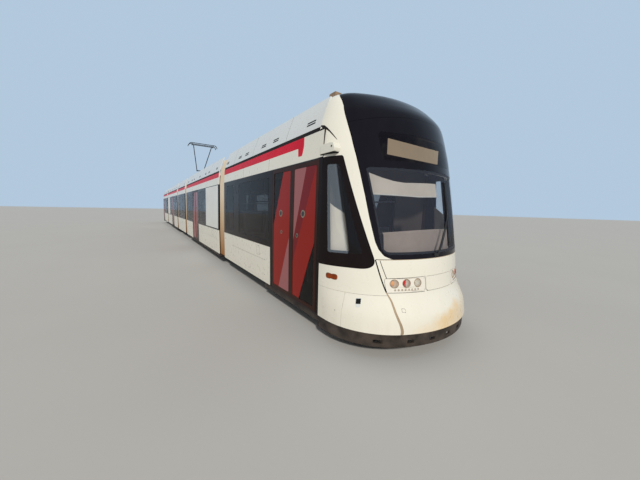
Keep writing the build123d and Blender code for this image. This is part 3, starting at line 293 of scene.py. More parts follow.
steel = worn(
    "worn_steel", (0.33, 0.29, 0.26), 0.42, 0.85, vary=0.3, scale=14, grain=140, bump=0.3, depth=0.001
)
dark_trim = worn("dark_trim", (0.022, 0.021, 0.022), 0.45, vary=0.15, grain=150, bump=0.2, depth=0.001)
carbon = worn("carbon_strip", (0.035, 0.035, 0.037), 0.5, vary=0.2, grain=200, bump=0.3, depth=0.001)
panto_paint = worn(
    "panto_paint", (0.05, 0.05, 0.055), 0.4, vary=0.2, scale=8, grain=120, bump=0.2, depth=0.001
)
porcelain = worn("insulator", (0.30, 0.07, 0.04), 0.25, vary=0.15, grain=80, bump=0.05)
wall_beige = worn("wall_beige", (0.42, 0.40, 0.35), 0.6, vary=0.06, grain=120, bump=0.1, depth=0.001)
blind_cloth = worn("blind_cloth", (0.90, 0.84, 0.72), 0.85, vary=0.04, grain=600, bump=0.3, depth=0.0005)
screen_cloth = worn("screen_cloth", (0.70, 0.65, 0.59), 0.85, vary=0.04, grain=600, bump=0.3, depth=0.0005)
bulkhead_grey = worn("bulkhead_grey", (0.10, 0.085, 0.075), 0.55, vary=0.1, grain=200, bump=0.1)
desk_grey = worn("desk_grey", (0.45, 0.38, 0.34), 0.7, vary=0.12, grain=250, bump=0.3, depth=0.001)
seat_shell = worn("seat_shell", (0.16, 0.16, 0.17), 0.45, vary=0.1, grain=150, bump=0.15, depth=0.001)
pole_steel = worn("pole_steel", (0.62, 0.61, 0.59), 0.25, 0.95, vary=0.05, grain=120, bump=0.05)
# The lit board alone gives off light
board_tan = worn(
    "board_tan", (0.22, 0.18, 0.12), 0.5, vary=0.08, grain=60, bump=0.05,
    Emission_Color=(0.36, 0.28, 0.19, 1), Emission_Strength=3.9
)
amber = Paint("amber_lens", (0.72, 0.36, 0.17), 0.15, Specular_IOR_Level=0.3)
red_lens = Paint("red_lens", (0.55, 0.02, 0.015), 0.12, Specular_IOR_Level=0.3)
chrome = worn("lamp_bowl", (0.84, 0.75, 0.62), 0.22, 0.45, vary=0.05, grain=40, bump=0.03)
film_deep = Paint("film_deep", (0.185, 0.018, 0.022), 0.14, Specular_IOR_Level=0.08)
film_white = worn("film_white", (0.78, 0.78, 0.75), 0.35, vary=0.03, grain=40, bump=0.05)
gutter_black = worn(
    "gutter_black", (0.022, 0.015, 0.014), 0.6,
    vary=0.2, grain=120, bump=0.2, depth=0.001, Specular_IOR_Level=0.15
)
seal_bronze = worn(
    "seal_bronze", (0.50, 0.38, 0.26), 0.6, vary=0.2, grain=60, bump=0.1, Specular_IOR_Level=0.2
)
brass_ring = worn(
    "button_ring", (0.42, 0.36, 0.25), 0.35, 0.7, vary=0.25, scale=30, grain=200, bump=0.1, depth=0.001
)
rim_brown = worn("lamp_rim", (0.34, 0.22, 0.13), 0.45, vary=0.2, scale=20, grain=150, bump=0.1, depth=0.001)
lamp_cream = worn("lamp_cream", (0.84, 0.80, 0.72), 0.3, vary=0.03, grain=60, bump=0.03, Coat_Weight=0.3)
led_white = worn("lamp_core", (0.80, 0.76, 0.62), 0.2, vary=0.05, grain=90, bump=0.02)
marker_orange = worn(
    "marker_orange", (0.24, 0.042, 0.006), 0.25,
    vary=0.25, scale=20, grain=60, bump=0.05, Specular_IOR_Level=0.2
)
ceiling_white = worn("ceiling_lamp", (0.80, 0.80, 0.78), 0.4, vary=0.02, grain=60, bump=0.02)
screen_black = worn("screen_glass", (0.015, 0.017, 0.020), 0.12, vary=0.1, grain=40, bump=0.01)


def woven(name, colour, second):
    """Moquette: a fine weave in two tones."""
    paint = Paint(name, colour, 0.9, Sheen_Weight=0.3)
    weave = paint.node("ShaderNodeTexChecker", Vector=paint.place, Scale=330.0).outputs["Fac"]
    patch = paint.ramp(paint.noise(38, 2), ((0.45, 0.0), (0.55, 1.0)))
    tone = paint.mix(paint.maths("MULTIPLY", patch, 0.6), colour, second)
    paint.tint(paint.mix(paint.maths("MULTIPLY", weave, 0.25), tone, tuple(c * 0.4 for c in colour)))
    return paint.bump(paint.noise(420, 2), 0.4, 0.001)


moquette = woven("moquette", (0.10, 0.10, 0.12), (0.30, 0.03, 0.05))
seat_black = woven("driver_cloth", (0.035, 0.035, 0.040), (0.060, 0.060, 0.065))


def bellows_cloth():
    """Coated fabric, pale at its top and turning brown towards its foot, in blotches."""
    paint = Paint("bellows_cloth", (0.55, 0.42, 0.28), 0.8, Specular_IOR_Level=0.15)
    blotch = paint.noise(5, 6, (1, 1, 0.3), 0.6)
    level = paint.maths("ADD", paint.axis("Z"), paint.maths("MULTIPLY", blotch, 0.5))
    share = paint.maths("DIVIDE", paint.maths("SUBTRACT", level, 0.55), 2.4, True)
    stops = ((0.0, (0.27, 0.115, 0.035)), (0.45, (0.48, 0.35, 0.23)), (0.85, (0.62, 0.53, 0.42)))
    paint.tint(paint.ramp(share, stops))
    return paint.bump(paint.noise(260, 3), 0.35, 0.001)


bellows_tan = bellows_cloth()


def grid_faces(rows, columns, turned=False):
    """Four-sided faces between neighbours in rows of points, the other way round if turned."""
    faces = []
    for i in range(rows - 1):
        for j in range(columns - 1):
            a = i * columns + j
            c = a + columns
            faces.append((a, c, c + 1, a + 1) if turned else (a, a + 1, c + 1, c))
    return faces


def finish_with(obj, *paints):
    """Gives an object its materials in place of any it has."""
    obj.data.materials.clear()
    for paint in paints:
        obj.data.materials.append(paint.material)
    return obj


# Meshes
def build(name, points, faces, paint, normals=None, smooth=False):
    """A mesh object from points and faces, smooth where normals are given or asked for."""
    mesh = bpy.data.meshes.new(name)
    mesh.from_pydata([tuple(map(float, p)) for p in points], [], [tuple(f) for f in faces])
    mesh.update()
    if smooth or normals is not None:
        mesh.polygons.foreach_set("use_smooth", [True] * len(mesh.polygons))
    if normals is not None:
        mesh.normals_split_custom_set([normals[loop.vertex_index] for loop in mesh.loops])
    obj = bpy.data.objects.new(name, mesh)
    scene.collection.objects.link(obj)
    for one in paint if isinstance(paint, (list, tuple)) else (paint,):
        mesh.materials.append(one.material)
    return obj


def carry(obj, body, replaced=()):
    """Rides a whole piece on one body."""
    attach(obj, body)
    if replaced:
        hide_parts(*replaced)
    return obj


def both_ends(obj, module, replaced=()):
    """Rides a front-half piece on its module and adds the twin, turned half round."""
    twin = obj.copy()
    scene.collection.objects.link(twin)
    stem = obj.name
    for piece, (end, turn) in zip((obj, twin), ENDS):
        piece.name = f"{stem}_{end}"
        piece.matrix_world = Matrix.Rotation(turn, 4, "Z") @ obj.matrix_world if turn else obj.matrix_world
        carry(piece, f"{module}_{end}", [f"{node}_{end}" for node in replaced])
    return obj, twin


def beveled(obj, width, segments=2, angle=40):
    """Rounds an object's sharp edges and shades it smooth."""
    modifier = obj.modifiers.new("round", "BEVEL")
    modifier.width, modifier.segments = width, segments
    modifier.limit_method = "ANGLE"
    modifier.angle_limit = math.radians(angle)
    modifier.harden_normals = True
    obj.data.polygons.foreach_set("use_smooth", [True] * len(obj.data.polygons))
    return obj


BLOCK_FACES = ((3, 2, 1, 0), (4, 5, 6, 7), (0, 1, 5, 4), (1, 2, 6, 5), (2, 3, 7, 6), (3, 0, 4, 7))


class Shape:
    """Points and faces gathered from simple forms, to become one mesh."""

    def __init__(self):
        self.points, self.faces = [], []

    def add(self, points, faces):
        """Adds points and the faces between them."""
        start = len(self.points)
        self.points += [tuple(p) for p in points]
        self.faces += [tuple(start + i for i in face) for face in faces]

    def block(self, low, high):
        """A box between two corners."""
        (x0, y0, z0), (x1, y1, z1) = low, high
        corners = [(x, y, z) for z in (z0, z1) for x, y in ((x0, y0), (x1, y0), (x1, y1), (x0, y1))]
        self.add(corners, BLOCK_FACES)

    def prism(self, outline, low, high, axis=1):
        """An outline pushed along an axis: 1 for a side view, 0 for a front view, 2 for a plan."""
        place = {
            0: lambda u, v, w: (w, u, v),
            1: lambda u, v, w: (u, w, v),
            2: lambda u, v, w: (u, v, w),
        }[axis]
        n = len(outline)
        points = [place(u, v, low) for u, v in outline] + [place(u, v, high) for u, v in outline]
        faces = [tuple(range(n)), tuple(range(2 * n - 1, n - 1, -1))]
        faces += [(i, n + i, n + (i + 1) % n, (i + 1) % n) for i in range(n)]
        self.add(points, faces)

    def tube(self, path, radius, sides=12, closed=False):
        """A round bar along a path of points, with a flat end at each end."""
        path = [Vector(p) for p in path]
        rings, n = [], len(path)
        side = None
        for i, point in enumerate(path):
            ahead = path[(i + 1) % n] if closed else path[min(i + 1, n - 1)]
            behind = path[i - 1] if closed else path[max(i - 1, 0)]
            along = (ahead - behind).normalized()
            if side is None:
                side = along.orthogonal().normalized()
            side = (side - along * side.dot(along)).normalized()
            other = along.cross(side)
            wide = radius[i] if isinstance(radius, (list, tuple)) else radius
            turns = [2 * math.pi * k / sides for k in range(sides)]
            rings.append([point + (side * math.cos(t) + other * math.sin(t)) * wide for t in turns])
        points = [p for ring in rings for p in ring]
        faces = []
        for i in range(n if closed else n - 1):
            j = (i + 1) % n
            for k in range(sides):
                after = (k + 1) % sides
                faces.append((i * sides + k, i * sides + after, j * sides + after, j * sides + k))
        if not closed:
            faces += [tuple(range(sides))[::-1], tuple((n - 1) * sides + k for k in range(sides))]
        self.add(points, faces)

    def turned(self, profile, origin, axis, sides=24):
        """A profile of (distance along, radius) turned about an axis through an origin."""
        axis = Vector(axis).normalized()
        self.tube([Vector(origin) + axis * d for d, _ in profile], [r for _, r in profile], sides)

    def mirrored(self):
        """Adds the other side's copy of all so far."""
        start = len(self.points)
        self.points += [(x, -y, z) for x, y, z in self.points]
        self.faces += [tuple(start + i for i in reversed(face)) for face in self.faces]
        return self

    def make(self, name, paint, smooth=False):
        """The shape so far as a mesh object."""
        return build(name, self.points, self.faces, paint, smooth=smooth)


# Nose surface: plan sections by height, as in the CAD, joined smoothly
# height, nose tip, half-width, front radius, corner radius
NOSE = np.array(
    (
        (0.327, 16.300, 1.325, 1.70, 1.000),
        (0.500, 16.272, 1.325, 1.70, 1.000),
        (0.820, 16.130, 1.325, 1.70, 0.980),
        (1.222, 16.080, 1.322, 1.70, 0.950),
        (2.560, 15.860, 1.295, 1.70, 0.680),
        (2.925, 15.770, 1.270, 1.65, 0.640),
        (3.150, 15.690, 1.205, 1.68, 0.560),
        (3.300, 15.570, 1.150, 1.75, 0.450),
        (3.420, 15.440, 1.100, 1.90, 0.300),
    )
)
CROWN, CROWN_EDGE, CROWN_HALF = 3.590, 3.425, 1.100
CROWN_TIPS = np.array(
    ((3.420, 15.440), (3.470, 15.355), (3.520, 15.245), (3.560, 15.110), (3.582, 14.985), (3.590, 14.900))
)
# Rows of points up to the crown's edge and over the crown, the half-width at which it closes
LOWER_ROWS, CROWN_ROWS, CROWN_CLOSE = 160, 60, 0.012
# Points along a plan section's side, corner and front
SIDE_STEPS, CORNER_STEPS, FRONT_STEPS = 26, 34, 26
# Rows on each side of the crown's edge that are smoothed, and how far each round of it reaches
SOFT_ROWS, SOFT_REACHES = 8, (4, 3, 2)
ARC_STEPS = 7
SEAM_X, ROOF_X = 15.060, 14.940
GUTTER = 2.925


def smooth_lookup(table, at):
    """Monotone cubic through a table's rows, its first column the key, at the given keys."""
    keys = table[:, 0]
    steps = np.diff(keys)[:, None]
    slopes = np.diff(table[:, 1:], axis=0) / steps
    inner = np.where(
        slopes[:-1] * slopes[1:] > 0,
        2 * slopes[:-1] * slopes[1:] / (slopes[:-1] + slopes[1:] + 1e-12),
        0,
    )
    tangents = np.vstack((slopes[:1], inner, slopes[-1:]))
    i = np.clip(np.searchsorted(keys, at) - 1, 0, len(keys) - 2)
    t = ((at - keys[i]) / steps[i, 0])[:, None]
    values = table[:, 1:]
    return (
        (2 * t**3 - 3 * t**2 + 1) * values[i]
        + (t**3 - 2 * t**2 + t) * steps[i] * tangents[i]
        + (3 * t**2 - 2 * t**3) * values[i + 1]
        + (t**3 - t**2) * steps[i] * tangents[i + 1]
    )


def nose_rings():
    """Rows of height, tip, half-width, front and corner radius, from the skirt to the crown."""
    heights = np.linspace(NOSE[0, 0], NOSE[-1, 0], LOWER_ROWS)
    lower = np.column_stack((heights, smooth_lookup(NOSE, heights)))
    halves = np.linspace(CROWN_HALF, CROWN_CLOSE, CROWN_ROWS)[1:]
    sag = CROWN - CROWN_EDGE
    bow = (CROWN_HALF**2 + sag**2) / (2 * sag)
    crown = CROWN - bow + np.sqrt(bow**2 - halves**2)
    tips = smooth_lookup(CROWN_TIPS, np.clip(crown, CROWN_TIPS[0, 0], CROWN))[:, 0]
    share = halves / CROWN_HALF
    upper = np.column_stack((crown, tips, halves, 0.4 + 1.5 * share, np.minimum(0.3, 0.6 * halves)))
    rows = np.vstack((lower, upper))
    edge = len(lower)
    soft = rows.copy()
    for reach in SOFT_REACHES:
        for i in range(edge - SOFT_ROWS, edge + SOFT_ROWS):
            soft[i] = rows[i - reach : i + reach + 1].mean(axis=0)
        rows = soft.copy()
    return rows


def ring_points(row, inset=0.0):
    """Points round one plan section, from the back on the platform side to the back on the other."""
    height, tip, half, front, corner = row
    tip, half, front, corner = tip - inset, half - inset, front - inset, max(corner - inset, 0.004)
    front_x = tip - front
    corner_x = front_x + math.sqrt(max((front - corner) ** 2 - (half - corner) ** 2, 0))
    turn = math.atan2(half - corner, corner_x - front_x)
    back = ROOF_X - 0.02
    along = np.linspace(0, 1, SIDE_STEPS)[:-1, None]
    straight = along * np.array((corner_x - back, 0)) + np.array((back, half))
    if corner_x < back:
        straight[:] = (back, half)
    start = 0.0
    if corner_x < back:
        start = math.asin(min(1, (back - corner_x) / corner))
    a = np.linspace(math.pi / 2 - start, turn, CORNER_STEPS)[:-1]
    arc = np.column_stack((corner_x + corner * np.cos(a), half - corner + corner * np.sin(a)))
    b = np.linspace(turn, 0, FRONT_STEPS)
    nose = np.column_stack((front_x + front * np.cos(b), front * np.sin(b)))
    side = np.vstack((straight, arc, nose))
    other = side[:-1][::-1] * (1, -1)
    ring = np.vstack((side, other))
    return np.column_stack((ring[:, 0], ring[:, 1], np.full(len(ring), up(height))))


def nose_grid(inset=0.0):
    """The nose surface as (points, normals, faces), with normals from the grid itself."""
    grid = np.array([ring_points(row, inset) for row in nose_rings()])
    du = np.gradient(grid, axis=1)
    dv = np.gradient(grid, axis=0)
    normals = np.cross(dv, du)
    lengths = np.linalg.norm(normals, axis=2, keepdims=True)
    normals = normals / np.maximum(lengths, 1e-12)
    faces = grid_faces(*grid.shape[:2], turned=True)
    return grid.reshape(-1, 3), normals.reshape(-1, 3), faces


def clip(surface, measure):
    """The part of a surface where a measure of its points is positive, cut cleanly along zero."""
    points, normals, faces = surface
    value = measure(points)
    value = np.where(np.abs(value) < 1e-7, 1e-7, value)
    keep, made, cache = [], [], {}
    inside = value > 0
    for face in faces:
        hits = [inside[i] for i in face]
        if all(hits):
            keep.append(face)
            continue
        if not any(hits):
            continue
        outline = []
        for a, b in zip(face, face[1:] + face[:1]):
            if inside[a]:
                outline.append(a)
            if inside[a] != inside[b]:
                key = (a, b) if a < b else (b, a)
                if key not in cache:
                    t = value[key[0]] / (value[key[0]] - value[key[1]])
                    cache[key] = len(points) + len(made)
                    made.append((key, t))
                outline.append(cache[key])
        if len(outline) > 2:
            keep.append(tuple(outline))
    if made:
        first = np.array([k[0] for k, _ in made])
        second = np.array([k[1] for k, _ in made])
        t = np.array([t for _, t in made])[:, None]
        points = np.vstack((points, points[first] * (1 - t) + points[second] * t))
        normals = np.vstack((normals, normals[first] * (1 - t) + normals[second] * t))
    used = sorted({i for face in keep for i in face})
    index = {old: new for new, old in enumerate(used)}
    return points[used], normals[used], [tuple(index[i] for i in face) for face in keep]


def outline_distance(points, outline):
    """Signed distance of 2-D points to a closed outline, positive inside."""
    outline = np.array(outline, float)
    nearest = np.full(len(points), 1e9)
    inside = np.zeros(len(points), bool)
    for a, b in zip(outline, np.roll(outline, -1, axis=0)):
        d = b - a
        t = np.clip(((points - a) @ d) / (d @ d), 0, 1)
        nearest = np.minimum(nearest, np.linalg.norm(points - a - t[:, None] * d, axis=1))
        crosses = (a[1] > points[:, 1]) != (b[1] > points[:, 1])
        with np.errstate(divide="ignore", invalid="ignore"):
            x = a[0] + (points[:, 1] - a[1]) * d[0] / d[1]
        inside ^= crosses & (points[:, 0] < x)
    return np.where(inside, nearest, -nearest)


def rounded(outline, radii):
    """An outline with its corners turned into arcs, one radius for all or one for each."""
    radii = radii if isinstance(radii, (list, tuple)) else [radii] * len(outline)
    result = []
    n = len(outline)
    for i, radius in enumerate(radii):
        here = Vector(outline[i])
        before, after = Vector(outline[i - 1]) - here, Vector(outline[(i + 1) % n]) - here
        if radius <= 0:
            result.append(tuple(here))
            continue
        angle = before.angle(after)
        reach = min(radius / math.tan(angle / 2), 0.49 * before.length, 0.49 * after.length)
        p, q = here + before.normalized() * reach, here + after.normalized() * reach
        for k in range(ARC_STEPS + 1):
            t = k / ARC_STEPS
            result.append(tuple((1 - t) ** 2 * p + 2 * t * (1 - t) * here + t**2 * q))
    return result


def side_view(outline):
    """A measure for clip: signed distance in side view to an outline of stations and heights."""
    outline = [(x, up(h)) for x, h in outline]
    return lambda p: outline_distance(p[:, (0, 2)], outline)


def front_view(outline):
    """A measure for clip: signed distance in front view to an outline, with the back left out."""
    outline = [(y, up(h)) for y, h in outline]
    return lambda p: np.where(p[:, 0] > SEAM_X, outline_distance(p[:, 1:], outline), -1.0)


def less(measure, distance):
    """A measure moved inwards by a distance."""
    return lambda p: measure(p) - distance


def outside(measure, distance=0.0):
    """A measure turned round, and moved outwards by a distance."""
    return lambda p: -measure(p) - distance


def panel(name, surface, paint, rim=0.012):
    """A panel: the outer surface and a rim turned inwards round all its edges."""
    points, normals, faces = surface
    count = {}
    for face in faces:
        for a, b in zip(face, face[1:] + face[:1]):
            count[(a, b)] = count.get((a, b), 0) + 1
    rims = [(a, b) for (a, b) in count if (b, a) not in count]
    border = sorted({i for edge in rims for i in edge})
    index = {i: len(points) + k for k, i in enumerate(border)}
    deep = {i: len(points) + len(border) + k for k, i in enumerate(border)}
    all_points = np.vstack((points, points[border], points[border] - normals[border] * rim))
    rim_normals = np.zeros((len(border), 3))
    rim_faces = []
    for a, b in rims:
        rim_faces.append((index[b], index[a], deep[a], deep[b]))
        out = np.cross(points[b] - points[a], normals[a])
        out /= max(np.linalg.norm(out), 1e-9)
        rim_normals[index[a] - len(points)] += out
        rim_normals[index[b] - len(points)] += out
    lengths = np.maximum(np.linalg.norm(rim_normals, axis=1, keepdims=True), 1e-9)
    rim_normals = rim_normals / lengths
    all_normals = np.vstack((normals, rim_normals, rim_normals))
    return build(name, all_points, list(faces) + rim_faces, paint, normals=all_normals)


# Lines that split the nose, in side view: station and height
MASK_FOOT = 1.235
MASK_SIDE = (
    (15.905, MASK_FOOT),
    (15.838, 1.285),
    (15.790, 1.370),
    (15.757, 1.460),
    (15.681, 1.760),
    (15.615, 2.040),
    (15.542, 2.321),
    (15.475, 2.560),
    (15.399, 2.782),
    (15.310, 3.010),
    (15.218, 3.220),
    (15.155, 3.315),
    (15.080, 3.398),
    (15.020, 3.445),
    (14.962, 3.480),
)
AHEAD, ABOVE = 17.0, 4.0  # a station and a height outside the nose, to close outlines
MASK = MASK_SIDE + ((MASK_SIDE[-1][0], ABOVE), (AHEAD, ABOVE), (AHEAD, MASK_FOOT))
SIDE_BLACK = rounded(
    ((SEAM_X, 1.096), (15.500, 1.112), (15.812, 1.112), (15.350, 2.552), (SEAM_X, 2.552)),
    (0, 0.2, 0.16, 0.03, 0),
)
SIDE_WINDOW = rounded(((15.228, 1.283), (15.664, 1.300), (15.324, 2.440), (15.148, 2.450)), 0.03)
SEAM_KNOTS = np.array(
    (
        (0.200, 16.112),
        (0.344, 16.112),
        (0.421, 16.099),
        (0.512, 16.068),
        (0.610, 16.018),
        (0.710, 15.962),
        (0.823, 15.899),
        (1.240, 15.778),
    )
)


def seam_station(height):
    """Station of the joint between the cheek and the front panel at a height."""
    return float(smooth_lookup(SEAM_KNOTS, np.array([height]))[0][0])


SEAM_FOOT, SEAM_TOP = 0.200, 1.240
BODY_SEAM = tuple((seam_station(h), h) for h in np.linspace(SEAM_TOP, SEAM_FOOT, 40))
FRONT = BODY_SEAM + ((AHEAD, SEAM_FOOT), (AHEAD, SEAM_TOP))
CLEAR = rounded(((-0.880, 1.298), (0.880, 1.298), (0.990, 2.400), (-0.990, 2.400)), (0.12, 0.12, 0.04, 0.04))
DISPLAY = rounded(((-0.81, 2.49), (0.81, 2.49), (0.81, 2.86), (-0.81, 2.86)), 0.03)
GAP = 0.003
# Faces of a slab: its four front corners, then the same at the back; and the same without its back
SLAB_FACES = ((0, 1, 2, 3), (7, 6, 5, 4), (0, 4, 5, 1), (1, 5, 6, 2), (2, 6, 7, 3), (3, 7, 4, 0))
OPEN_SLAB = SLAB_FACES[:1] + SLAB_FACES[2:]

nose = nose_grid()
mask_measure = side_view(MASK)
black_measure = side_view(SIDE_BLACK)
front_measure = side_view(FRONT)
clear_measure = front_view(CLEAR)
display_measure = front_view(DISPLAY)


def behind_seam(p):
    """Positive ahead of the cab's back edge: the door post below the gutter, the roof above it."""
    return p[:, 0] - np.where(p[:, 2] < up(GUTTER), SEAM_X, ROOF_X) - GAP / 2


HOOD_LINE, HOOD_BOW = 3.105, 0.10


def above_hood_line(p):
    """Height above the bowed joint between the mask's hood and its face."""
    return p[:, 2] - up(HOOD_LINE) + HOOD_BOW * p[:, 1] ** 2


whole = clip(nose, behind_seam)
mask_part = clip(whole, less(mask_measure, GAP))
hood = clip(mask_part, less(above_hood_line, GAP / 2))
face = clip(mask_part, outside(above_hood_line, GAP / 2))
face_black = clip(clip(face, outside(clear_measure)), outside(display_measure))
side_part = clip(whole, less(black_measure, GAP / 2))
pane_measure = side_view(SIDE_WINDOW)
PANEL_RIM, GLASS_RIM = 0.012, 0.008
# Black and glass panels: name, surface, paint, depth of the rim, slot and the CAD nodes replaced
FACE_PANELS = (
    ("mask_hood", hood, mask_black, PANEL_RIM, "window_band", ()),
    ("mask_face", face_black, mask_black, GLASS_RIM, "window_band", ("cab_mask",)),
    ("windscreen", clip(face, clear_measure), clear_glass, GLASS_RIM, "clear_glass", ("cab_windscreen",)),
    ("display_window", clip(face, display_measure), mask_glass, GLASS_RIM, "dark_glass", ()),
    ("side_surround", clip(side_part, outside(pane_measure)), band_black, PANEL_RIM, "window_band", ()),
    # The side window's glass carries a painted reflection
    ("side_window", clip(side_part, pane_measure), pane_painted_reflection, GLASS_RIM, "clear_glass", ()),
)
for panel_name, surface, paint, rim, slot, replaced in FACE_PANELS:
    both_ends(panel(panel_name, surface, paint, rim), "cab", replaced)

white = clip(clip(whole, outside(mask_measure, GAP)), outside(black_measure, GAP / 2))
white = clip(white, outside(front_measure, GAP))
LOW_SEAM, DOOR_SEAM = 0.785, 15.520
lower = clip(white, lambda p: up(LOW_SEAM) - p[:, 2] - GAP / 2)
panels = (
    ("cheek_upper", clip(white, lambda p: p[:, 2] - up(LOW_SEAM) - GAP / 2)),
    ("cheek_rear", clip(lower, lambda p: DOOR_SEAM - p[:, 0] - GAP / 2)),
    ("cheek_front", clip(lower, lambda p: p[:, 0] - DOOR_SEAM - GAP / 2)),
)
for panel_name, surface in panels:
    replaced = ("cab_nose",) if panel_name == "cheek_upper" else ()
    both_ends(panel(panel_name, surface, white_paint), "cab", replaced)

# Front panel with the lamp panels and the blank middle panel let in
LAMP_BOX = ((-0.848, 0.820), (-0.317, 0.813), (-0.310, 1.002), (-0.869, 0.995))
BLANK_BOX = rounded(((-0.300, 0.813), (0.300, 0.813), (0.300, 1.002), (-0.300, 1.002)), 0.004)
OUTLINE = 0.006
front_part = clip(clip(whole, less(front_measure, GAP / 2)), outside(mask_measure, GAP))
lamp_measures = [front_view([(side * y, h) for y, h in LAMP_BOX]) for side in (1, -1)]
blank_measure = front_view(BLANK_BOX)
bumper = clip(front_part, outside(blank_measure, OUTLINE / 2))
for measure in lamp_measures:
    bumper = clip(bumper, outside(measure, OUTLINE))
both_ends(panel("bumper", bumper, bumper_paint), "cab")
blank_part = clip(front_part, less(blank_measure, GAP / 2))
both_ends(panel("blank_panel", blank_part, bumper_paint), "cab")

# Dark backing behind the joints, cut away behind glass and lamps
BACKING_IN, BACKING_TOP, BACKING_RIM = 0.013, 3.40, 0.004
backing = clip(clip(nose_grid(BACKING_IN), behind_seam), lambda p: up(BACKING_TOP) - p[:, 2])
laps = [(clear_measure, 0.03), (pane_measure, 0.03)]
laps += [(measure, 0.01) for measure in lamp_measures] + [(display_measure, 0.02)]
for measure, lap in laps:
    backing = clip(backing, outside(measure, -lap))
both_ends(panel("nose_backing", backing, gap_black, BACKING_RIM), "cab")

# Body sides: half-width at each height, and the stations of the modules
SKIN = ((0.327, 1.325), (1.095, 1.325), (2.560, 1.295), (2.925, 1.270), (3.420, 1.100))
WAIST, HEAD, HALF = 1.095, 2.560, 1.325
CAB_BACK, MID_FRONT, MID_BACK, CENTRE_END = 10.030, 9.340, 2.290, 1.620
LEVELS = [height for height, _ in SKIN[1:-1]]
LINE_T = 0.002


def skin(height):
    """Half-width of the body's outer face at a height."""
    return float(np.interp(height, [h for h, _ in SKIN], [w for _, w in SKIN]))


def below(outline, level, keep):
    """The part of a side-view outline below (keep=-1) or above (keep=1) a level."""
    result = []
    for (x0, h0), (x1, h1) in zip(outline, outline[1:] + outline[:1]):
        in0, in1 = keep * (h0 - level) >= 0, keep * (h1 - level) >= 0
        if in0:
            result.append((x0, h0))
        if in0 != in1:
            t = (level - h0) / (h1 - h0)
            result.append((x0 + (x1 - x0) * t, level))
    return result


def side_plate(shape, outline, proud, thick):
    """A plate on the platform side that follows the body's kinks; proud is ahead of the outer face."""
    pieces = [list(outline)]
    for level in LEVELS:
        heights = [h for piece in pieces for _, h in piece]
        if min(heights) < level < max(heights):
            pieces = [below(piece, level, keep) for piece in pieces for keep in (-1, 1)]
            pieces = [piece for piece in pieces if len(piece) > 2]
    for piece in pieces:
        n = len(piece)
        points = [(x, -skin(h) - proud, up(h)) for x, h in piece]
        points += [(x, -skin(h) - proud + thick, up(h)) for x, h in piece]
        faces = [tuple(range(n)), tuple(range(2 * n - 1, n - 1, -1))]
        faces += [((i + 1) % n, i, n + i, n + (i + 1) % n) for i in range(n)]
        shape.add(points, faces)


def side_line(shape, path, wide, proud, closed=False):
    """A thin line along a side-view path, as small plates."""
    ends = path[1:] + path[:1] if closed else path[1:]
    for (x0, h0), (x1, h1) in zip(path, ends):
        length = math.hypot(x1 - x0, h1 - h0)
        dx, dh = -(h1 - h0) / length * wide / 2, (x1 - x0) / length * wide / 2
        corners = [(x0 + dx, h0 + dh), (x0 - dx, h0 - dh), (x1 - dx, h1 - dh), (x1 + dx, h1 + dh)]
        side_plate(shape, corners, proud, LINE_T)


def box_outline(x0, x1, h0, h1):
    """The four corners of an upright rectangle."""
    return [(x0, h0), (x1, h0), (x1, h1), (x0, h1)]


def on_module(shape, name, paint, module, replaced=(), bevel=0.0, mirrored=True):
    """Finishes a side shape: mirrored, rounded, and carried by its module, at both ends if it has two."""
    if mirrored:
        shape.mirrored()
    obj = shape.make(name, paint)
    if bevel:
        beveled(obj, bevel)
    if module == "centre":
        return carry(obj, "centre", replaced)
    return both_ends(obj, module, replaced)


# Skirts: frames with lift-up flaps, by the stations of start, flap, seam, flap end and end
SKIRT_LOW, FLAP_TOP, SKIRT_T, FACE = 0.327, 0.800, 0.020, 0.001
SEAM, JOINT = 0.006, 0.002
LOCK_HEIGHTS, LOCK_IN = (0.485, 0.580), 0.06
FLAP_LOCK, HATCH_LOCK = ((0, 0.009), (0.0007, 0.008)), ((0, 0.008), (0.0007, 0.007))
SKIRT_BACK_IN, SKIRT_BACK_T, HATCH_LINE = 0.004, 0.015, 0.004
SKIRTS = {
    "cab": ((CAB_BACK, 10.73, 11.90, 13.16, 13.38),),
    "mid": ((MID_BACK, 2.52, 3.28, 4.04, 4.26), (5.80, 6.02, 7.55, 9.08, MID_FRONT)),
    "centre": ((-CENTRE_END, -1.34, 0.0, 1.34, CENTRE_END),),
}
HATCHES = {"cab": ((12.68, 12.83, 0.855, 1.05),), "mid": ((8.35, 8.55, 0.86, 1.03),), "centre": ()}
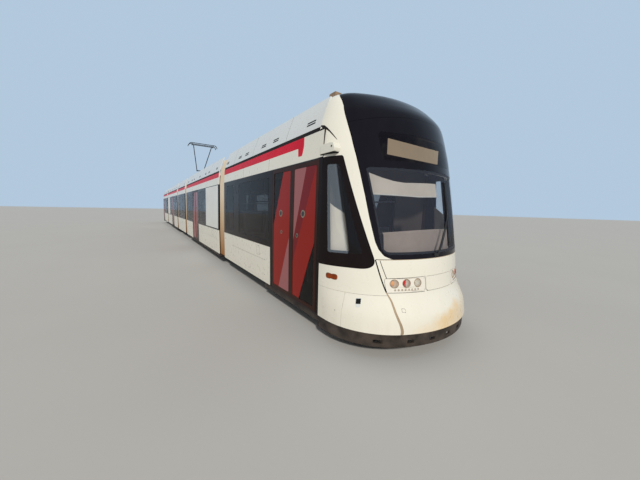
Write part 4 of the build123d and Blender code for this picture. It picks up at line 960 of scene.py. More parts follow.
for module, spans in SKIRTS.items():
    white, dark, locks = Shape(), Shape(), Shape()
    for start, flap_start, middle, flap_end, end in spans:
        frame_outline = [
            (start + JOINT, SKIRT_LOW),
            (flap_start, SKIRT_LOW),
            (flap_start, FLAP_TOP),
            (flap_end, FLAP_TOP),
            (flap_end, SKIRT_LOW),
            (end - JOINT, SKIRT_LOW),
            (end - JOINT, WAIST - JOINT),
            (start + JOINT, WAIST - JOINT),
        ]
        side_plate(white, frame_outline, -FACE, SKIRT_T)
        for low, high in ((flap_start, middle), (middle, flap_end)):
            flap = box_outline(low + SEAM / 2, high - SEAM / 2, SKIRT_LOW, FLAP_TOP - SEAM)
            side_plate(white, flap, -FACE, SKIRT_T)
            for h in LOCK_HEIGHTS:
                at = (high - LOCK_IN, -HALF + FACE, up(h))
                locks.turned(FLAP_LOCK, at, OUTWARD, 16)
        back_heights = (SKIRT_LOW + SKIRT_BACK_IN, WAIST - SKIRT_BACK_IN)
        back = box_outline(start + JOINT, end - JOINT, *back_heights)
        side_plate(dark, back, -SKIRT_T, SKIRT_BACK_T)
    for x0, x1, h0, h1 in HATCHES[module]:
        side_line(dark, box_outline(x0, x1, h0, h1), HATCH_LINE, -FACE + 0.0005, True)
        at = ((x0 + x1) / 2, -HALF + FACE, up(h0 + 0.03))
        locks.turned(HATCH_LOCK, at, OUTWARD, 16)
    stem = f"{module}_skirt"
    on_module(white, f"{stem}_panels", white_paint, module, (stem,), 0.0022)
    on_module(dark, f"{stem}_backing", gap_black, module)
    on_module(locks, f"{stem}_locks", dark_trim, module)

# Cant panels: crimson stripe, tag, seams and the dark gutter above
STRIPE = (2.782, 2.924)
GUTTER_BAND = (2.927, 2.984)
CANTS = {
    "cab": ((CAB_BACK, 14.940), (11.764, 13.263)),
    "mid": ((MID_BACK, MID_FRONT), (4.22, 5.84, 7.60)),
    "centre": ((-CENTRE_END, CENTRE_END), ()),
}
# Dark plate that closes the joint between the cab's cant panel and the nose
CANT_LOW = HEAD + 0.004
PLATE_OUT, PLATE_IN = 0.0034, -0.11
corners = ((CANT_LOW, PLATE_OUT), (GUTTER, PLATE_OUT), (GUTTER, PLATE_IN), (CANT_LOW, PLATE_IN))
CANT_END = [(-skin(h) - out, up(h)) for h, out in corners]
STRIPE_END, END_GAP = 14.37, 0.001
STRIPE_PROUD, TAG_PROUD, TAPE_T = 0.0019, 0.0022, 0.002
# The gutter runs on over the nose by a lap
GUTTER_PROUD, GUTTER_T, GUTTER_LAP = 0.0012, 0.002, 0.018
CANT_SEAM, CANT_SEAM_PROUD = 0.004, 0.0014
TAG = rounded(
    ((14.352, 2.924), (14.385, 2.655), (14.502, 2.655), (14.542, 2.790), (14.534, 2.924)),
    (0, 0.03, 0.03, 0.2, 0),
)
gutter_y = -(skin(GUTTER) - 0.012)
for module, ((start, end), seams) in CANTS.items():
    stripe, dark = Shape(), Shape()
    stripe_end = STRIPE_END if module == "cab" else end
    side_plate(stripe, box_outline(start + END_GAP, stripe_end - END_GAP, *STRIPE), STRIPE_PROUD, TAPE_T)
    if module == "cab":
        side_plate(stripe, TAG, TAG_PROUD, TAPE_T)
    low, high = (up(h) for h in GUTTER_BAND)
    out, inner = gutter_y - GUTTER_PROUD, gutter_y + GUTTER_T
    past_end = GUTTER_LAP if module == "cab" else -END_GAP
    section = [(out, low), (out, high), (inner, high), (inner, low)]
    dark.prism(section, start + END_GAP, end + past_end, 0)
    for x in seams:
        side_line(dark, [(x, CANT_LOW), (x, GUTTER - 0.002)], CANT_SEAM, CANT_SEAM_PROUD)
    if module == "cab":
        dark.prism(CANT_END, SEAM_X - 0.0029, SEAM_X + 0.0025, 0)
    on_module(stripe, f"{module}_stripe", stripe_red, module)
    on_module(dark, f"{module}_gutter", gutter_black, module)

# Doors: films on the panes, buttons, the rubber lips between the leaves and the step edges
DOORS = {"cab": (13.380, 15.060), "mid": (4.260, 5.800)}
POST, DOOR_GAP, LEAF_RIM = 0.070, 0.008, 0.062
PANE_IN, PANE_EDGE = 0.006, 0.002
PANE_LOW, PANE_HIGH = 0.409, 2.476
LEAF_LOW, LEAF_HIGH = 0.346, 2.539
DOOR_FILM_PROUD, DOOR_FILM_T = 0.0012, 0.0016
LIP_HALF, LIP_IN, LIP_T = 0.012, 0.004, 0.016
OVER_DOOR, STEP_EDGE = (2.541, 2.558), (0.328, 0.343)
# Films by side view, as shares of the pane's width and heights
FILMS = {
    "film_main": (
        ((0.58, PANE_HIGH), (1.0, PANE_HIGH), (1.0, 1.38), (0.37, PANE_LOW), (0.0, PANE_LOW), (0.0, 1.54)),
        (
            (1.0, 1.38), (1.0, PANE_HIGH), (0.99, PANE_HIGH), (0.32, 1.46),
            (0.0, 0.97), (0.0, PANE_LOW), (0.33, PANE_LOW),
        ),
    ),
    "film_dark": (
        (),
        ((0.56, PANE_HIGH), (0.99, PANE_HIGH), (0.32, 1.46), (0.0, 0.97), (0.0, 1.34), (0.063, 1.467)),
    ),
    "film_pink": (
        ((1.0, 1.38), (1.0, PANE_LOW), (0.37, PANE_LOW)),
        ((0.0, PANE_HIGH), (0.56, PANE_HIGH), (0.063, 1.467), (0.0, 1.34)),
    ),
}
FILM_PAINTS = {"film_main": film_red, "film_dark": film_deep, "film_pink": film_pink}
# Signs and buttons: share of the pane's width, height and radius
BUTTONS = (((0.47, 1.766, 0.060), (0.53, 1.436, 0.034)), ((0.46, 1.776, 0.060), (0.20, 1.424, 0.034)))
# Distance ahead of the pane and share of the radius
RING_PROFILE = ((0, 1), (0.003, 0.98), (0.004, 0.90), (0.0025, 0.80))
KNOB_PROFILE = ((0, 0.78), (0.0035, 0.74), (0.0045, 0.55), (0.0048, 0.1))
for module, (start, end) in DOORS.items():
    low, high = start + POST + DOOR_GAP, end - POST - DOOR_GAP
    middle = (low + high) / 2
    panes = (
        (low + LEAF_RIM, middle - DOOR_GAP / 2 - LEAF_RIM),
        (middle + DOOR_GAP / 2 + LEAF_RIM, high - LEAF_RIM),
    )
    for film, outlines in FILMS.items():
        shape = Shape()
        for (x0, x1), outline in zip(panes, outlines):
            if outline:
                film_wide = x1 - x0 - 2 * PANE_EDGE
                path = [(x0 + PANE_EDGE + u * film_wide, h) for u, h in outline]
                side_plate(shape, path, -PANE_IN + DOOR_FILM_PROUD, DOOR_FILM_T)
        on_module(shape, f"{module}_{film}", FILM_PAINTS[film], module)
    rings, knobs = Shape(), Shape()
    for (x0, x1), buttons in zip(panes, BUTTONS):
        for share, h, radius in buttons:
            at = (x0 + share * (x1 - x0), -skin(h) + PANE_IN - 0.001, up(h))
            for part, profile in ((rings, RING_PROFILE), (knobs, KNOB_PROFILE)):
                part.turned([(out, radius * share) for out, share in profile], at, (0, -1, 0.02), 32)
    on_module(rings, f"{module}_door_rings", brass_ring, module)
    on_module(knobs, f"{module}_door_knobs", dark_trim, module)
    lips = Shape()
    # Between the leaves, behind and ahead of them, over them and at the step: outline, proud and thickness
    lip_plates = (
        (box_outline(middle - LIP_HALF, middle + LIP_HALF, LEAF_LOW, LEAF_HIGH), -0.0005, LIP_T),
        (box_outline(low - DOOR_GAP, low, LEAF_LOW, LEAF_HIGH), -LIP_IN, LIP_T),
        (box_outline(high, high + DOOR_GAP, LEAF_LOW, LEAF_HIGH), -LIP_IN, LIP_T),
        (box_outline(low, high, *OVER_DOOR), -LIP_IN, LIP_T),
        (box_outline(low, high, *STEP_EDGE), -0.006, 0.020),
    )
    for outline, proud, thick in lip_plates:
        side_plate(lips, outline, proud, thick)
    on_module(lips, f"{module}_door_lips", seal_black, module)

# Window seals: a fine dark line round each pane, by its stations at the sill and at the lintel
SILL, LINTEL, CORNER_R = 1.215, 2.440, 0.090
SEAL_WIDE, SEAL_PROUD = 0.007, 0.0006
WINDOWS = {
    "cab": ((10.190, 10.980, 10.330, 10.980), (11.420, 13.290, 11.420, 13.290)),
    "mid": (
        (2.450, 3.230, 2.450, 3.090),
        (3.420, 4.170, 3.420, 4.170),
        (5.890, 7.290, 5.890, 7.290),
        (7.470, 9.180, 7.470, 9.040),
    ),
    "centre": (
        (-1.460, -0.780, -1.320, -0.780),
        (-0.560, 0.560, -0.560, 0.560),
        (0.780, 1.460, 0.780, 1.320),
    ),
}
for module, panes in WINDOWS.items():
    seal = Shape()
    for x0, x1, x2, x3 in panes:
        path = rounded(((x0, SILL), (x1, SILL), (x3, LINTEL), (x2, LINTEL)), CORNER_R)
        side_line(seal, path, SEAL_WIDE, SEAL_PROUD, True)
    on_module(seal, f"{module}_window_seals", seal_black, module)

# Plain white film over the end windows of the middle modules
FILM_PANEL = rounded(((7.372, 1.14), (9.270, 1.14), (9.270, 2.540), (7.372, 2.540)), 0.01)
film_panel = Shape()
side_plate(film_panel, FILM_PANEL, 0.0008, 0.0006)
on_module(film_panel, "mid_window_film", film_white, "mid")

# Bellows: nine folds on an inverted U, between the two modules that they join
FOLDS, FOLD_DEEP = 9, 0.052
BELLOWS_LINE = ((1.286, 0.337), (1.286, 1.095), (1.256, 2.560), (1.222, 2.925), (1.108, 3.318))
PER_FOLD, CLOTH_T, RIDGE = 8, 0.03, 0.55
BELLOWS_GAP = 0.002


def bellows_section(inset):
    """Points round the inverted U, drawn smaller by an inset, as (across, height)."""
    half = []
    for (y0, h0), (y1, h1) in zip(BELLOWS_LINE, BELLOWS_LINE[1:]):
        steps = 6 if h1 - h0 > 0.5 else 3
        half += [(y0 + (y1 - y0) * k / steps - inset, h0 + (h1 - h0) * k / steps) for k in range(steps)]
    top_y, top_h = BELLOWS_LINE[-1]
    corner = [(top_y - inset, top_h - inset - 0.03), (top_y - inset - 0.02, top_h - inset - 0.008)]
    top = [(top_y * (1 - k / 5) - 0.05 * (1 - k / 5) - inset * (1 - k / 5), top_h - inset) for k in range(6)]
    half = [(y, min(h, top_h - inset - 0.05)) for y, h in half] + corner + top[:-1]
    return half + [(0.0, top_h - inset)] + [(-y, h) for y, h in reversed(half)]


def bellows(name, start, end, bodies, replaced):
    """A bellows between two stations."""
    count = FOLDS * PER_FOLD
    outer, inner = [], []
    for k in range(count + 1):
        x = start + (end - start) * k / count
        phase = (k / PER_FOLD) % 1.0
        ridge = max(0.0, math.sin(math.pi * phase)) ** RIDGE if 0 < k < count else 0.0
        outer.append([(x, y, up(h)) for y, h in bellows_section(FOLD_DEEP * (1 - ridge))])
        inner.append([(x, y, up(h)) for y, h in bellows_section(FOLD_DEEP + CLOTH_T)])
    shape = Shape()
    wide = len(outer[0])
    faces = grid_faces(count + 1, wide)
    shape.add([p for row in outer for p in row], faces)
    shape.add([p for row in inner for p in row], [face[::-1] for face in faces])
    for k in (0, count):
        shape.add(outer[k] + inner[k], grid_faces(2, wide))
    obj = shape.make(name, bellows_tan, smooth=True)
    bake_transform(obj)
    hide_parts(*replaced)


for end_name, sign in (("a", 1), ("b", -1)):
    node = (f"mid_bellows_{end_name}",)
    mid, cab = f"mid_{end_name}", f"cab_{end_name}"
    for stem, start, end, bodies in (
        ("outer", MID_FRONT, CAB_BACK, (mid, cab)),
        ("inner", CENTRE_END, MID_BACK, ("centre", mid)),
    ):
        stops = (sign * (start + BELLOWS_GAP), sign * (end - BELLOWS_GAP))
        bellows(f"bellows_{stem}_{end_name}", *stops, bodies, node)


# Points on the nose, by station or by place across
def nose_section(height, inset=0.0):
    """Stations and half-widths of half the nose's plan section, from its back to its tip."""
    row = (height, *smooth_lookup(NOSE, np.array([height]))[0])
    ring = ring_points(row, inset)
    half = ring[: len(ring) // 2 + 1]
    return half[:, 0], half[:, 1]


def nose_x(across, height, inset=0.0):
    """Station of the nose's surface at a place across."""
    stations, halves = nose_section(height, inset)
    return float(np.interp(-abs(across), -halves, stations))


def nose_y(station, height, inset=0.0):
    """Half-width of the nose at a station."""
    stations, halves = nose_section(height, inset)
    return float(np.interp(station, stations, halves))


def front_point(across, height, proud=0.0):
    """A point on the nose's front, moved ahead by some distance."""
    return (nose_x(across, height) + proud, across, up(height))


def cheek_point(station, height, proud=0.0):
    """A point on the nose's platform side, moved outwards by some distance."""
    return (station, -nose_y(station, height) - proud, up(height))


def nose_plate(shape, outline, proud, thick, place):
    """A plate over a convex outline on the nose, following its surface."""
    middle = tuple(sum(values) / len(outline) for values in zip(*outline))
    n = len(outline)
    points = [place(u, h, proud) for u, h in outline] + [place(*middle, proud)]
    points += [place(u, h, proud - thick) for u, h in outline]
    faces = [(i, (i + 1) % n, n) for i in range(n)]
    faces += [((i + 1) % n, i, n + 1 + i, n + 1 + (i + 1) % n) for i in range(n)]
    shape.add(points, faces)


def nose_band(shape, upper, lower, proud, thick, place, steps=6):
    """A strip between two lines on the nose, given point by point."""
    rows = []
    for line in (upper, lower):
        path = []
        for (u0, h0), (u1, h1) in zip(line, line[1:]):
            path += [(u0 + (u1 - u0) * k / steps, h0 + (h1 - h0) * k / steps) for k in range(steps)]
        rows.append(path + [line[-1]])
    n = len(rows[0])
    points = [place(u, h, d) for d in (proud, proud - thick) for row in rows for u, h in row]
    faces = []
    for i in range(n - 1):
        faces.append((n + i, n + i + 1, i + 1, i))
        faces.append((i, i + 1, 2 * n + i + 1, 2 * n + i))
        faces.append((n + i + 1, n + i, 3 * n + i, 3 * n + i + 1))
    shape.add(points, faces)


def nose_line(shape, path, widths, proud, place, thick=0.002):
    """A line along the nose whose width changes from point to point."""
    upper, lower = [], []
    for i, (u, h) in enumerate(path):
        (u0, h0), (u1, h1) = path[max(i - 1, 0)], path[min(i + 1, len(path) - 1)]
        length = math.hypot(u1 - u0, h1 - h0)
        across, rise = -(h1 - h0) / length, (u1 - u0) / length
        wide = widths[i] if isinstance(widths, (list, tuple)) else widths
        upper.append((u + across * wide / 2, h + rise * wide / 2))
        lower.append((u - across * wide / 2, h - rise * wide / 2))
    nose_band(shape, upper, lower, proud, thick, place, 2)


def circle(u, h, radius, count=32):
    """A circle as an outline."""
    return [
        (u + radius * math.cos(a), h + radius * math.sin(a))
        for a in np.linspace(0, 2 * math.pi, count, endpoint=False)
    ]


def cab_piece(shape, name, paint, replaced=(), mirrored=True, bevel=0.0, smooth=False):
    """Finishes a shape of the cab, mirrored to the other side if asked, at both ends of the tram."""
    if mirrored:
        shape.mirrored()
    obj = shape.make(name, paint, smooth)
    if bevel:
        beveled(obj, bevel)
    return both_ends(obj, "cab", replaced)


# Lamp panels: a plate with three round holes and eight small ones, on each side
LAMP_MIDDLES, LAMP_H, LAMP_R = (-0.755, -0.598, -0.436), 0.931, 0.052
LED_H, LED_R = 0.851, 0.0095
LAMP_PLATE_IN, LAMP_PLATE_T, LENS_IN, LENS_T = 0.001, 0.004, 0.0015, 0.003
RIM_PROUD, LAMP_RIM_R, LED_RIM_R = 0.0002, 0.0028, 0.0016
LED_MIDDLES = tuple(np.linspace(-0.752, -0.437, 8))
# A lamp's bowl: depth and share of the rim's radius; its rings are flat from BOWL_FLAT on
BOWL, BOWL_FLAT = ((0.012, 0.98), (0.026, 0.86), (0.038, 0.62), (0.044, 0.30)), 0.02
# Lamps inside the bowls: distance ahead and radius
TURN_PROFILE = ((0.012, 0.036), (0.028, 0.034), (0.036, 0.022), (0.040, 0.004))
HEAD_PROFILE = ((0, 0.016), (0.016, 0.015), (0.024, 0.009), (0.026, 0.002))
LED_PROFILE = ((-0.008, 0.0085), (-0.004, 0.0085), (-0.0015, 0.006), (0, 0.001))
TAIL_R, CORE_IN = 0.046, 0.043
SCREW_PROFILE = ((0, 0.006), (0.001, 0.0055))
SCREW_PLACES = ((-0.862, 0.984), (-0.862, 0.834), (-0.328, 0.984), (-0.328, 0.834))


def holed_plate(shape, outline, holes, proud, thick, place):
    """A plate on the nose with holes, its outline and holes as closed paths."""
    loops = [list(outline)] + [list(hole) for hole in holes]
    flat = [(u, h) for loop in loops for u, h in loop]
    triangles = tessellate_polygon([[Vector((u, h, 0)) for u, h in loop] for loop in loops])
    n = len(flat)
    points = [place(u, h, proud) for u, h in flat] + [place(u, h, proud - thick) for u, h in flat]
    faces = []
    for a, b, c in triangles:
        (ua, ha), (ub, hb), (uc, hc) = flat[a], flat[b], flat[c]
        if (ub - ua) * (hc - ha) - (hb - ha) * (uc - ua) < 0:
            b, c = c, b
        faces.append((a, b, c))
    start = 0
    for loop in loops:
        m = len(loop)
        for i in range(m):
            a, b = start + i, start + (i + 1) % m
            faces.append((b, a, n + a, n + b))
        start += m
    shape.add(points, faces)


def divided(outline, step):
    """An outline with its long sides cut into short ones."""
    result = []
    for (u0, h0), (u1, h1) in zip(outline, outline[1:] + outline[:1]):
        parts = max(1, int(math.hypot(u1 - u0, h1 - h0) / step))
        result += [(u0 + (u1 - u0) * k / parts, h0 + (h1 - h0) * k / parts) for k in range(parts)]
    return result


plate, bowls, lenses, ambers, reds, rims, leds, screws = [Shape() for _ in range(8)]
plate_outline = divided(list(LAMP_BOX), 0.03)
plate_holes = [circle(y, LAMP_H, LAMP_R) for y in LAMP_MIDDLES]
plate_holes += [circle(y, LED_H, LED_R, 16) for y in LED_MIDDLES]
holed_plate(plate, plate_outline, plate_holes, -LAMP_PLATE_IN, LAMP_PLATE_T, front_point)
for number, y in enumerate(LAMP_MIDDLES):
    rim = circle(y, LAMP_H, LAMP_R)
    rim_points = [Vector(front_point(*at, -LAMP_PLATE_IN)) for at in rim]
    middle_x = front_point(y, LAMP_H)[0]
    rings = [rim_points]
    for depth, share in BOWL:
        back = middle_x - depth
        flatness = min(1.0, depth / BOWL_FLAT)
        ring = []
        for p in rim_points:
            at_x = p.x - depth + (back - p.x + depth) * flatness
            ring.append(Vector((at_x, y + (p.y - y) * share, up(LAMP_H) + (p.z - up(LAMP_H)) * share)))
        rings.append(ring)
    n = len(rim)
    faces = []
    for i in range(len(BOWL)):
        for k in range(n):
            j = (k + 1) % n
            faces.append((i * n + k, i * n + j, (i + 1) * n + j, (i + 1) * n + k))
    faces.append(tuple(len(BOWL) * n + k for k in range(n)))
    bowls.add([tuple(p) for ring in rings for p in ring], faces)
    nose_plate(lenses, circle(y, LAMP_H, LAMP_R - LENS_IN), -LENS_IN, LENS_T, front_point)
    ring_path = [front_point(u, h, RIM_PROUD) for u, h in circle(y, LAMP_H, LAMP_R + LENS_IN)]
    rims.tube(ring_path, LAMP_RIM_R, 8, True)
    core_x = middle_x - CORE_IN
    if number == 0:
        ambers.turned(TURN_PROFILE, (core_x, y - 0.008, up(LAMP_H)), FORWARD, 24)
    elif number == 1:
        half_turn = np.linspace(math.pi / 2, 3 * math.pi / 2, 17)
        half_disc = [(y + TAIL_R * math.cos(a), up(LAMP_H) + TAIL_R * math.sin(a)) for a in half_turn]
        reds.prism(half_disc, middle_x - 0.030, middle_x - 0.010, 0)
    else:
        leds.turned(HEAD_PROFILE, (core_x, y, up(LAMP_H)), FORWARD, 20)
for y in LED_MIDDLES:
    leds.turned(LED_PROFILE, front_point(y, LED_H), FORWARD, 12)
    ring_path = [front_point(u, h, RIM_PROUD) for u, h in circle(y, LED_H, LED_R + 0.001, 16)]
    rims.tube(ring_path, LED_RIM_R, 6, True)
for y, h in SCREW_PLACES:
    screws.turned(SCREW_PROFILE, front_point(y, h, -LAMP_PLATE_IN), FORWARD, 12)
cab_piece(plate, "lamp_panels", lamp_cream, ("cab_lamps",))
for shape, name, paint, slot in (
    (bowls, "lamp_bowls", chrome, "lamp_lens"),
    (ambers, "turn_lamps", amber, "lamp_lens"),
    (reds, "tail_lamps", red_lens, "lamp_lens"),
    (leds, "lamp_elements", led_white, "lamp_lens"),
    (lenses, "lamp_lenses", lens_glass, "clear_glass"),
    (rims, "lamp_rims", rim_brown, "lamp_lens"),
):
    cab_piece(shape, name, paint, smooth=True)
cab_piece(screws, "lamp_screws", steel)

# Seams on the front: black beside the windscreen's foot, bronze below the lamps
seam_black, seam_bronze = Shape(), Shape()
SEAM_PROUD, SEAM_T, FOOT_STEPS = 0.0015, 0.004, 30
seam_top = [(seam_station(h), h) for h in np.linspace(1.236, 0.826, 16)]
seam_foot = [(seam_station(h), h) for h in np.linspace(0.822, 0.329, FOOT_STEPS)]
foot_widths = [0.008 + 0.010 * k / (FOOT_STEPS - 1) for k in range(FOOT_STEPS)]
nose_line(seam_black, seam_top, 0.009, SEAM_PROUD, cheek_point, SEAM_T)
nose_line(seam_bronze, seam_foot, foot_widths, SEAM_PROUD, cheek_point, SEAM_T)
second_seam = [(15.815 + 0.065 * t, 1.226 - 0.224 * t) for t in np.linspace(0, 1, 10)]
nose_line(seam_black, second_seam, 0.004, SEAM_PROUD, cheek_point, SEAM_T)
foot_seal = Shape()
foot_path = [front_point(y, MASK_FOOT - GAP / 2, -GAP / 2) for y in np.linspace(-0.93, 0.93, 60)]
foot_seal.tube(foot_path, 0.0035, 8)
cab_piece(seam_black, "front_seams", gap_black)
cab_piece(seam_bronze, "corner_seals", seal_bronze)
cab_piece(foot_seal, "mask_foot_seal", seal_bronze, mirrored=False, smooth=True)

# Cheek: marker lamp, handle recess and lock
pill = rounded(((15.216, 0.920), (15.405, 0.920), (15.405, 1.000), (15.216, 1.000)), 0.039)
inner_pill = rounded(((15.223, 0.927), (15.398, 0.927), (15.398, 0.993), (15.223, 0.993)), 0.032)
MARKER_RIM, MARKER_LENS = (0.0015, 0.003), (0.005, 0.004)  # how far each stands out, and its thickness
LOCK_PLACE, LOCK_PROFILE = (15.418, 0.522, 0.0005), ((0, 0.007), (0.0015, 0.006))
marker_rim, marker_lens = Shape(), Shape()
nose_plate(marker_rim, pill, *MARKER_RIM, cheek_point)
nose_plate(marker_lens, inner_pill, *MARKER_LENS, cheek_point)
cab_piece(marker_rim, "marker_rims", rim_brown)
cab_piece(marker_lens, "marker_lenses", marker_orange, bevel=0.002)
recess_rim, recess_dark, recess_scoop = Shape(), Shape(), Shape()
# Each part of the handle recess: corners, their radii, how far it stands out and its thickness
for shape, corners, radii, proud, thick in (
    (
        recess_rim, ((15.677, 0.622), (15.726, 0.628), (15.711, 0.744), (15.654, 0.736)),
        (0.022, 0.022, 0.008, 0.008), 0.0026, 0.005,
    ),
    (
        recess_dark, ((15.671, 0.663), (15.720, 0.669), (15.709, 0.735), (15.660, 0.728)),
        0.006, 0.0034, 0.002,
    ),
    (
        recess_scoop, ((15.683, 0.632), (15.719, 0.637), (15.716, 0.662), (15.676, 0.656)),
        (0.016, 0.016, 0.002, 0.002), 0.0034, 0.002,
    ),
):
    nose_plate(shape, rounded(corners, radii), proud, thick, cheek_point)
recess_dark.turned(LOCK_PROFILE, cheek_point(*LOCK_PLACE), OUTWARD, 16)
cab_piece(recess_rim, "handle_rims", shroud_paint, bevel=0.0012)
cab_piece(recess_dark, "handle_recesses", gap_black)
cab_piece(recess_scoop, "handle_scoops", shroud_paint, bevel=0.001)

# Tow cap on the bumper, turned a little, with its dark ring
TOW_CAP = (-0.712, 0.614)
cap_ring, cap_face = Shape(), Shape()
CAP_TURNS = (0.62, 2.19, 3.76, 5.33)
for shape, half, proud in ((cap_ring, 0.0245, 0.0006), (cap_face, 0.0215, 0.0014)):
    reach = half * 1.30
    square = [(TOW_CAP[0] + reach * math.cos(a), TOW_CAP[1] + reach * math.sin(a)) for a in CAP_TURNS]
    nose_plate(shape, rounded(square, 0.012), proud, 0.002, front_point)
cab_piece(cap_ring, "tow_cap_rings", dark_trim, mirrored=False)
cab_piece(cap_face, "tow_caps", bumper_paint, mirrored=False)

# Gutter's dark ends, swept down over the nose
wedge = Shape()
WEDGE_TOP = [
    (14.943, 3.002), (15.020, 2.985), (15.078, 2.944), (15.130, 2.896), (15.190, 2.833), (15.250, 2.763)
]
WEDGE_LOW = [
    (14.943, 2.928), (15.020, 2.928), (15.070, 2.918), (15.122, 2.880), (15.184, 2.822), (15.246, 2.760)
]
nose_band(wedge, WEDGE_TOP, WEDGE_LOW, 0.0010, 0.002, cheek_point)
cab_piece(wedge, "gutter_ends", gutter_black)

# Camera pods under the cant, at both sides of the cab
POD = ((15.004, 2.596), (15.305, 2.594), (15.316, 2.640), (15.286, 2.706), (15.215, 2.716), (15.004, 2.716))
pod, pod_foot, pod_lens = Shape(), Shape(), Shape()
pod_corners = (0.004, 0.02, 0.02, 0.02, 0.02, 0.004)
POD_SPAN, FOOT_SPAN = (-1.304, -1.19), (-1.299, -1.20)
LENS_PROFILE, LENS_PLACE = ((0, 0.013), (0.004, 0.012), (0.006, 0.006)), (15.258, -1.303, up(2.664))
pod.prism([(x, up(h)) for x, h in rounded(POD, pod_corners)], *POD_SPAN)
pod_foot.prism([(x, up(h)) for x, h in box_outline(15.008, 15.296, 2.582, 2.596)], *FOOT_SPAN)
pod_lens.turned(LENS_PROFILE, LENS_PLACE, OUTWARD, 20)
cab_piece(pod, "camera_pods", white_paint, bevel=0.008)
cab_piece(pod_foot, "camera_pod_feet", gap_black, bevel=0.003)
cab_piece(pod_lens, "camera_lenses", dark_trim, smooth=True)

# Wiper: foot, sprung arm and blade
WIPER_FOOT, WIPER_KNEE = (-0.100, 1.275), (0.250, 1.800)
BLADE_Y, BLADE_LOW, BLADE_HIGH = 0.250, 1.370, 2.280
arm, blade = Shape(), Shape()
hub = front_point(*WIPER_FOOT, 0.0)
HUB_PROFILE = ((-0.004, 0.030), (0.006, 0.028), (0.016, 0.022), (0.034, 0.020), (0.040, 0.012))
arm.turned(HUB_PROFILE, hub, (1, 0, 0.15), 24)
steps = [k / 10 for k in range(11)]
arm_path = []
for t in steps:
    y, h = (foot + (knee - foot) * t for foot, knee in zip(WIPER_FOOT, WIPER_KNEE))
    arm_path.append(front_point(y, h, 0.036 - 0.010 * t))
arm.tube(arm_path, [0.013 - 0.006 * t for t in steps], 10)
second_path = [(x + 0.002, y + 0.030, z + 0.004) for x, y, z in arm_path[1:9]]
arm.tube(second_path, 0.0045, 8)
blade_heights = [BLADE_LOW + (BLADE_HIGH - BLADE_LOW) * t for t in steps]
blade.tube([front_point(BLADE_Y, h, 0.019) for h in blade_heights], [0.004] + [0.0075] * 9 + [0.004], 8)
blade.tube([front_point(BLADE_Y, h, 0.007) for h in blade_heights], 0.0055, 6)
knee_low = Vector(front_point(*WIPER_KNEE, 0.016)) - Vector((0.006, 0.012, 0.03))
knee_high = Vector(front_point(*WIPER_KNEE, 0.030)) + Vector((0.002, 0.012, 0.03))
arm.block(tuple(knee_low), tuple(knee_high))
cab_piece(arm, "wiper_arm", dark_trim, mirrored=False, smooth=True)
cab_piece(blade, "wiper_blade", seal_black, mirrored=False, smooth=True)

# Behind the glass: destination board left blank, its housing, and the two blinds
board, housing, blind, rail, side_blind = [Shape() for _ in range(5)]
BOARD_X, BOARD_HALF, BOARD_LOW, BOARD_HIGH = 15.570, 0.600, 2.608, 2.812
board.block((BOARD_X, -BOARD_HALF, up(BOARD_LOW)), (BOARD_X + 0.008, BOARD_HALF, up(BOARD_HIGH)))
HOUSING_HALF, HOUSING_BACK, HOUSING_FRONT = 0.83, 15.45, 0.014
HOUSING_LOW, HOUSING_HIGH, HOUSING_COLUMNS = 2.480, 2.870, 25
housing_ys = np.linspace(-HOUSING_HALF, HOUSING_HALF, HOUSING_COLUMNS)
for h in (HOUSING_LOW, HOUSING_HIGH):
    front_edge = [(nose_x(y, h, HOUSING_FRONT), y, up(h)) for y in housing_ys]
    back_edge = [(HOUSING_BACK, y, up(h)) for y in housing_ys]
    housing.add(front_edge + back_edge, grid_faces(2, HOUSING_COLUMNS))
for y in (-HOUSING_HALF, HOUSING_HALF):
    heights = (HOUSING_LOW, 2.62, 2.74, HOUSING_HIGH)
    corners = [(nose_x(y, h, HOUSING_FRONT), y, up(h)) for h in heights]
    corners += [(HOUSING_BACK, y, up(h)) for h in (HOUSING_HIGH, HOUSING_LOW)]
    housing.add(corners, [tuple(range(6))])
back_low = (HOUSING_BACK - 0.01, -HOUSING_HALF, up(HOUSING_LOW))
housing.block(back_low, (HOUSING_BACK, HOUSING_HALF, up(HOUSING_HIGH)))
housing.block((HOUSING_BACK, -0.615, up(2.595)), (15.569, 0.615, up(2.825)))
# Sun blind: distance behind the glass, its top and foot by place across, and its wavy cloth
BLIND_IN = 0.055
BLIND_TOP = np.array(
    ((-0.958, 2.345), (-0.822, 2.285), (-0.664, 2.240), (-0.506, 2.222), (-0.166, 2.236), (0.20, 2.25))
)
BLIND_FOOT = np.array(((-0.958, 2.062), (-0.28, 2.045), (0.084, 2.060), (0.20, 2.062)))
BLIND_SPREAD = 1.02
BLIND_ROWS, BLIND_COLUMNS = 9, 31
BLIND_LEFT, BLIND_RIGHT = -0.93, 0.12
WAVE_DEEP, WAVES = 0.002, 40
blind_points = []
for row in range(BLIND_ROWS):
    for y in np.linspace(BLIND_LEFT, BLIND_RIGHT, BLIND_COLUMNS):
        low_h, high_h = (float(np.interp(y * BLIND_SPREAD, *line.T)) for line in (BLIND_FOOT, BLIND_TOP))
        h = low_h + (high_h - low_h) * row / (BLIND_ROWS - 1)
        blind_points.append((nose_x(y, h, BLIND_IN) - WAVE_DEEP * math.sin(y * WAVES), y, up(h)))
blind.add(blind_points, grid_faces(BLIND_ROWS, BLIND_COLUMNS))
rail.tube(blind_points[:BLIND_COLUMNS], 0.008, 8)
ROLLER_H, ROLLER_R = 2.400, 0.022
roller_ys = np.linspace(BLIND_LEFT, -BLIND_LEFT, BLIND_COLUMNS)
rail.tube([(nose_x(y, ROLLER_H, BLIND_IN), y, up(ROLLER_H)) for y in roller_ys], ROLLER_R, 10)
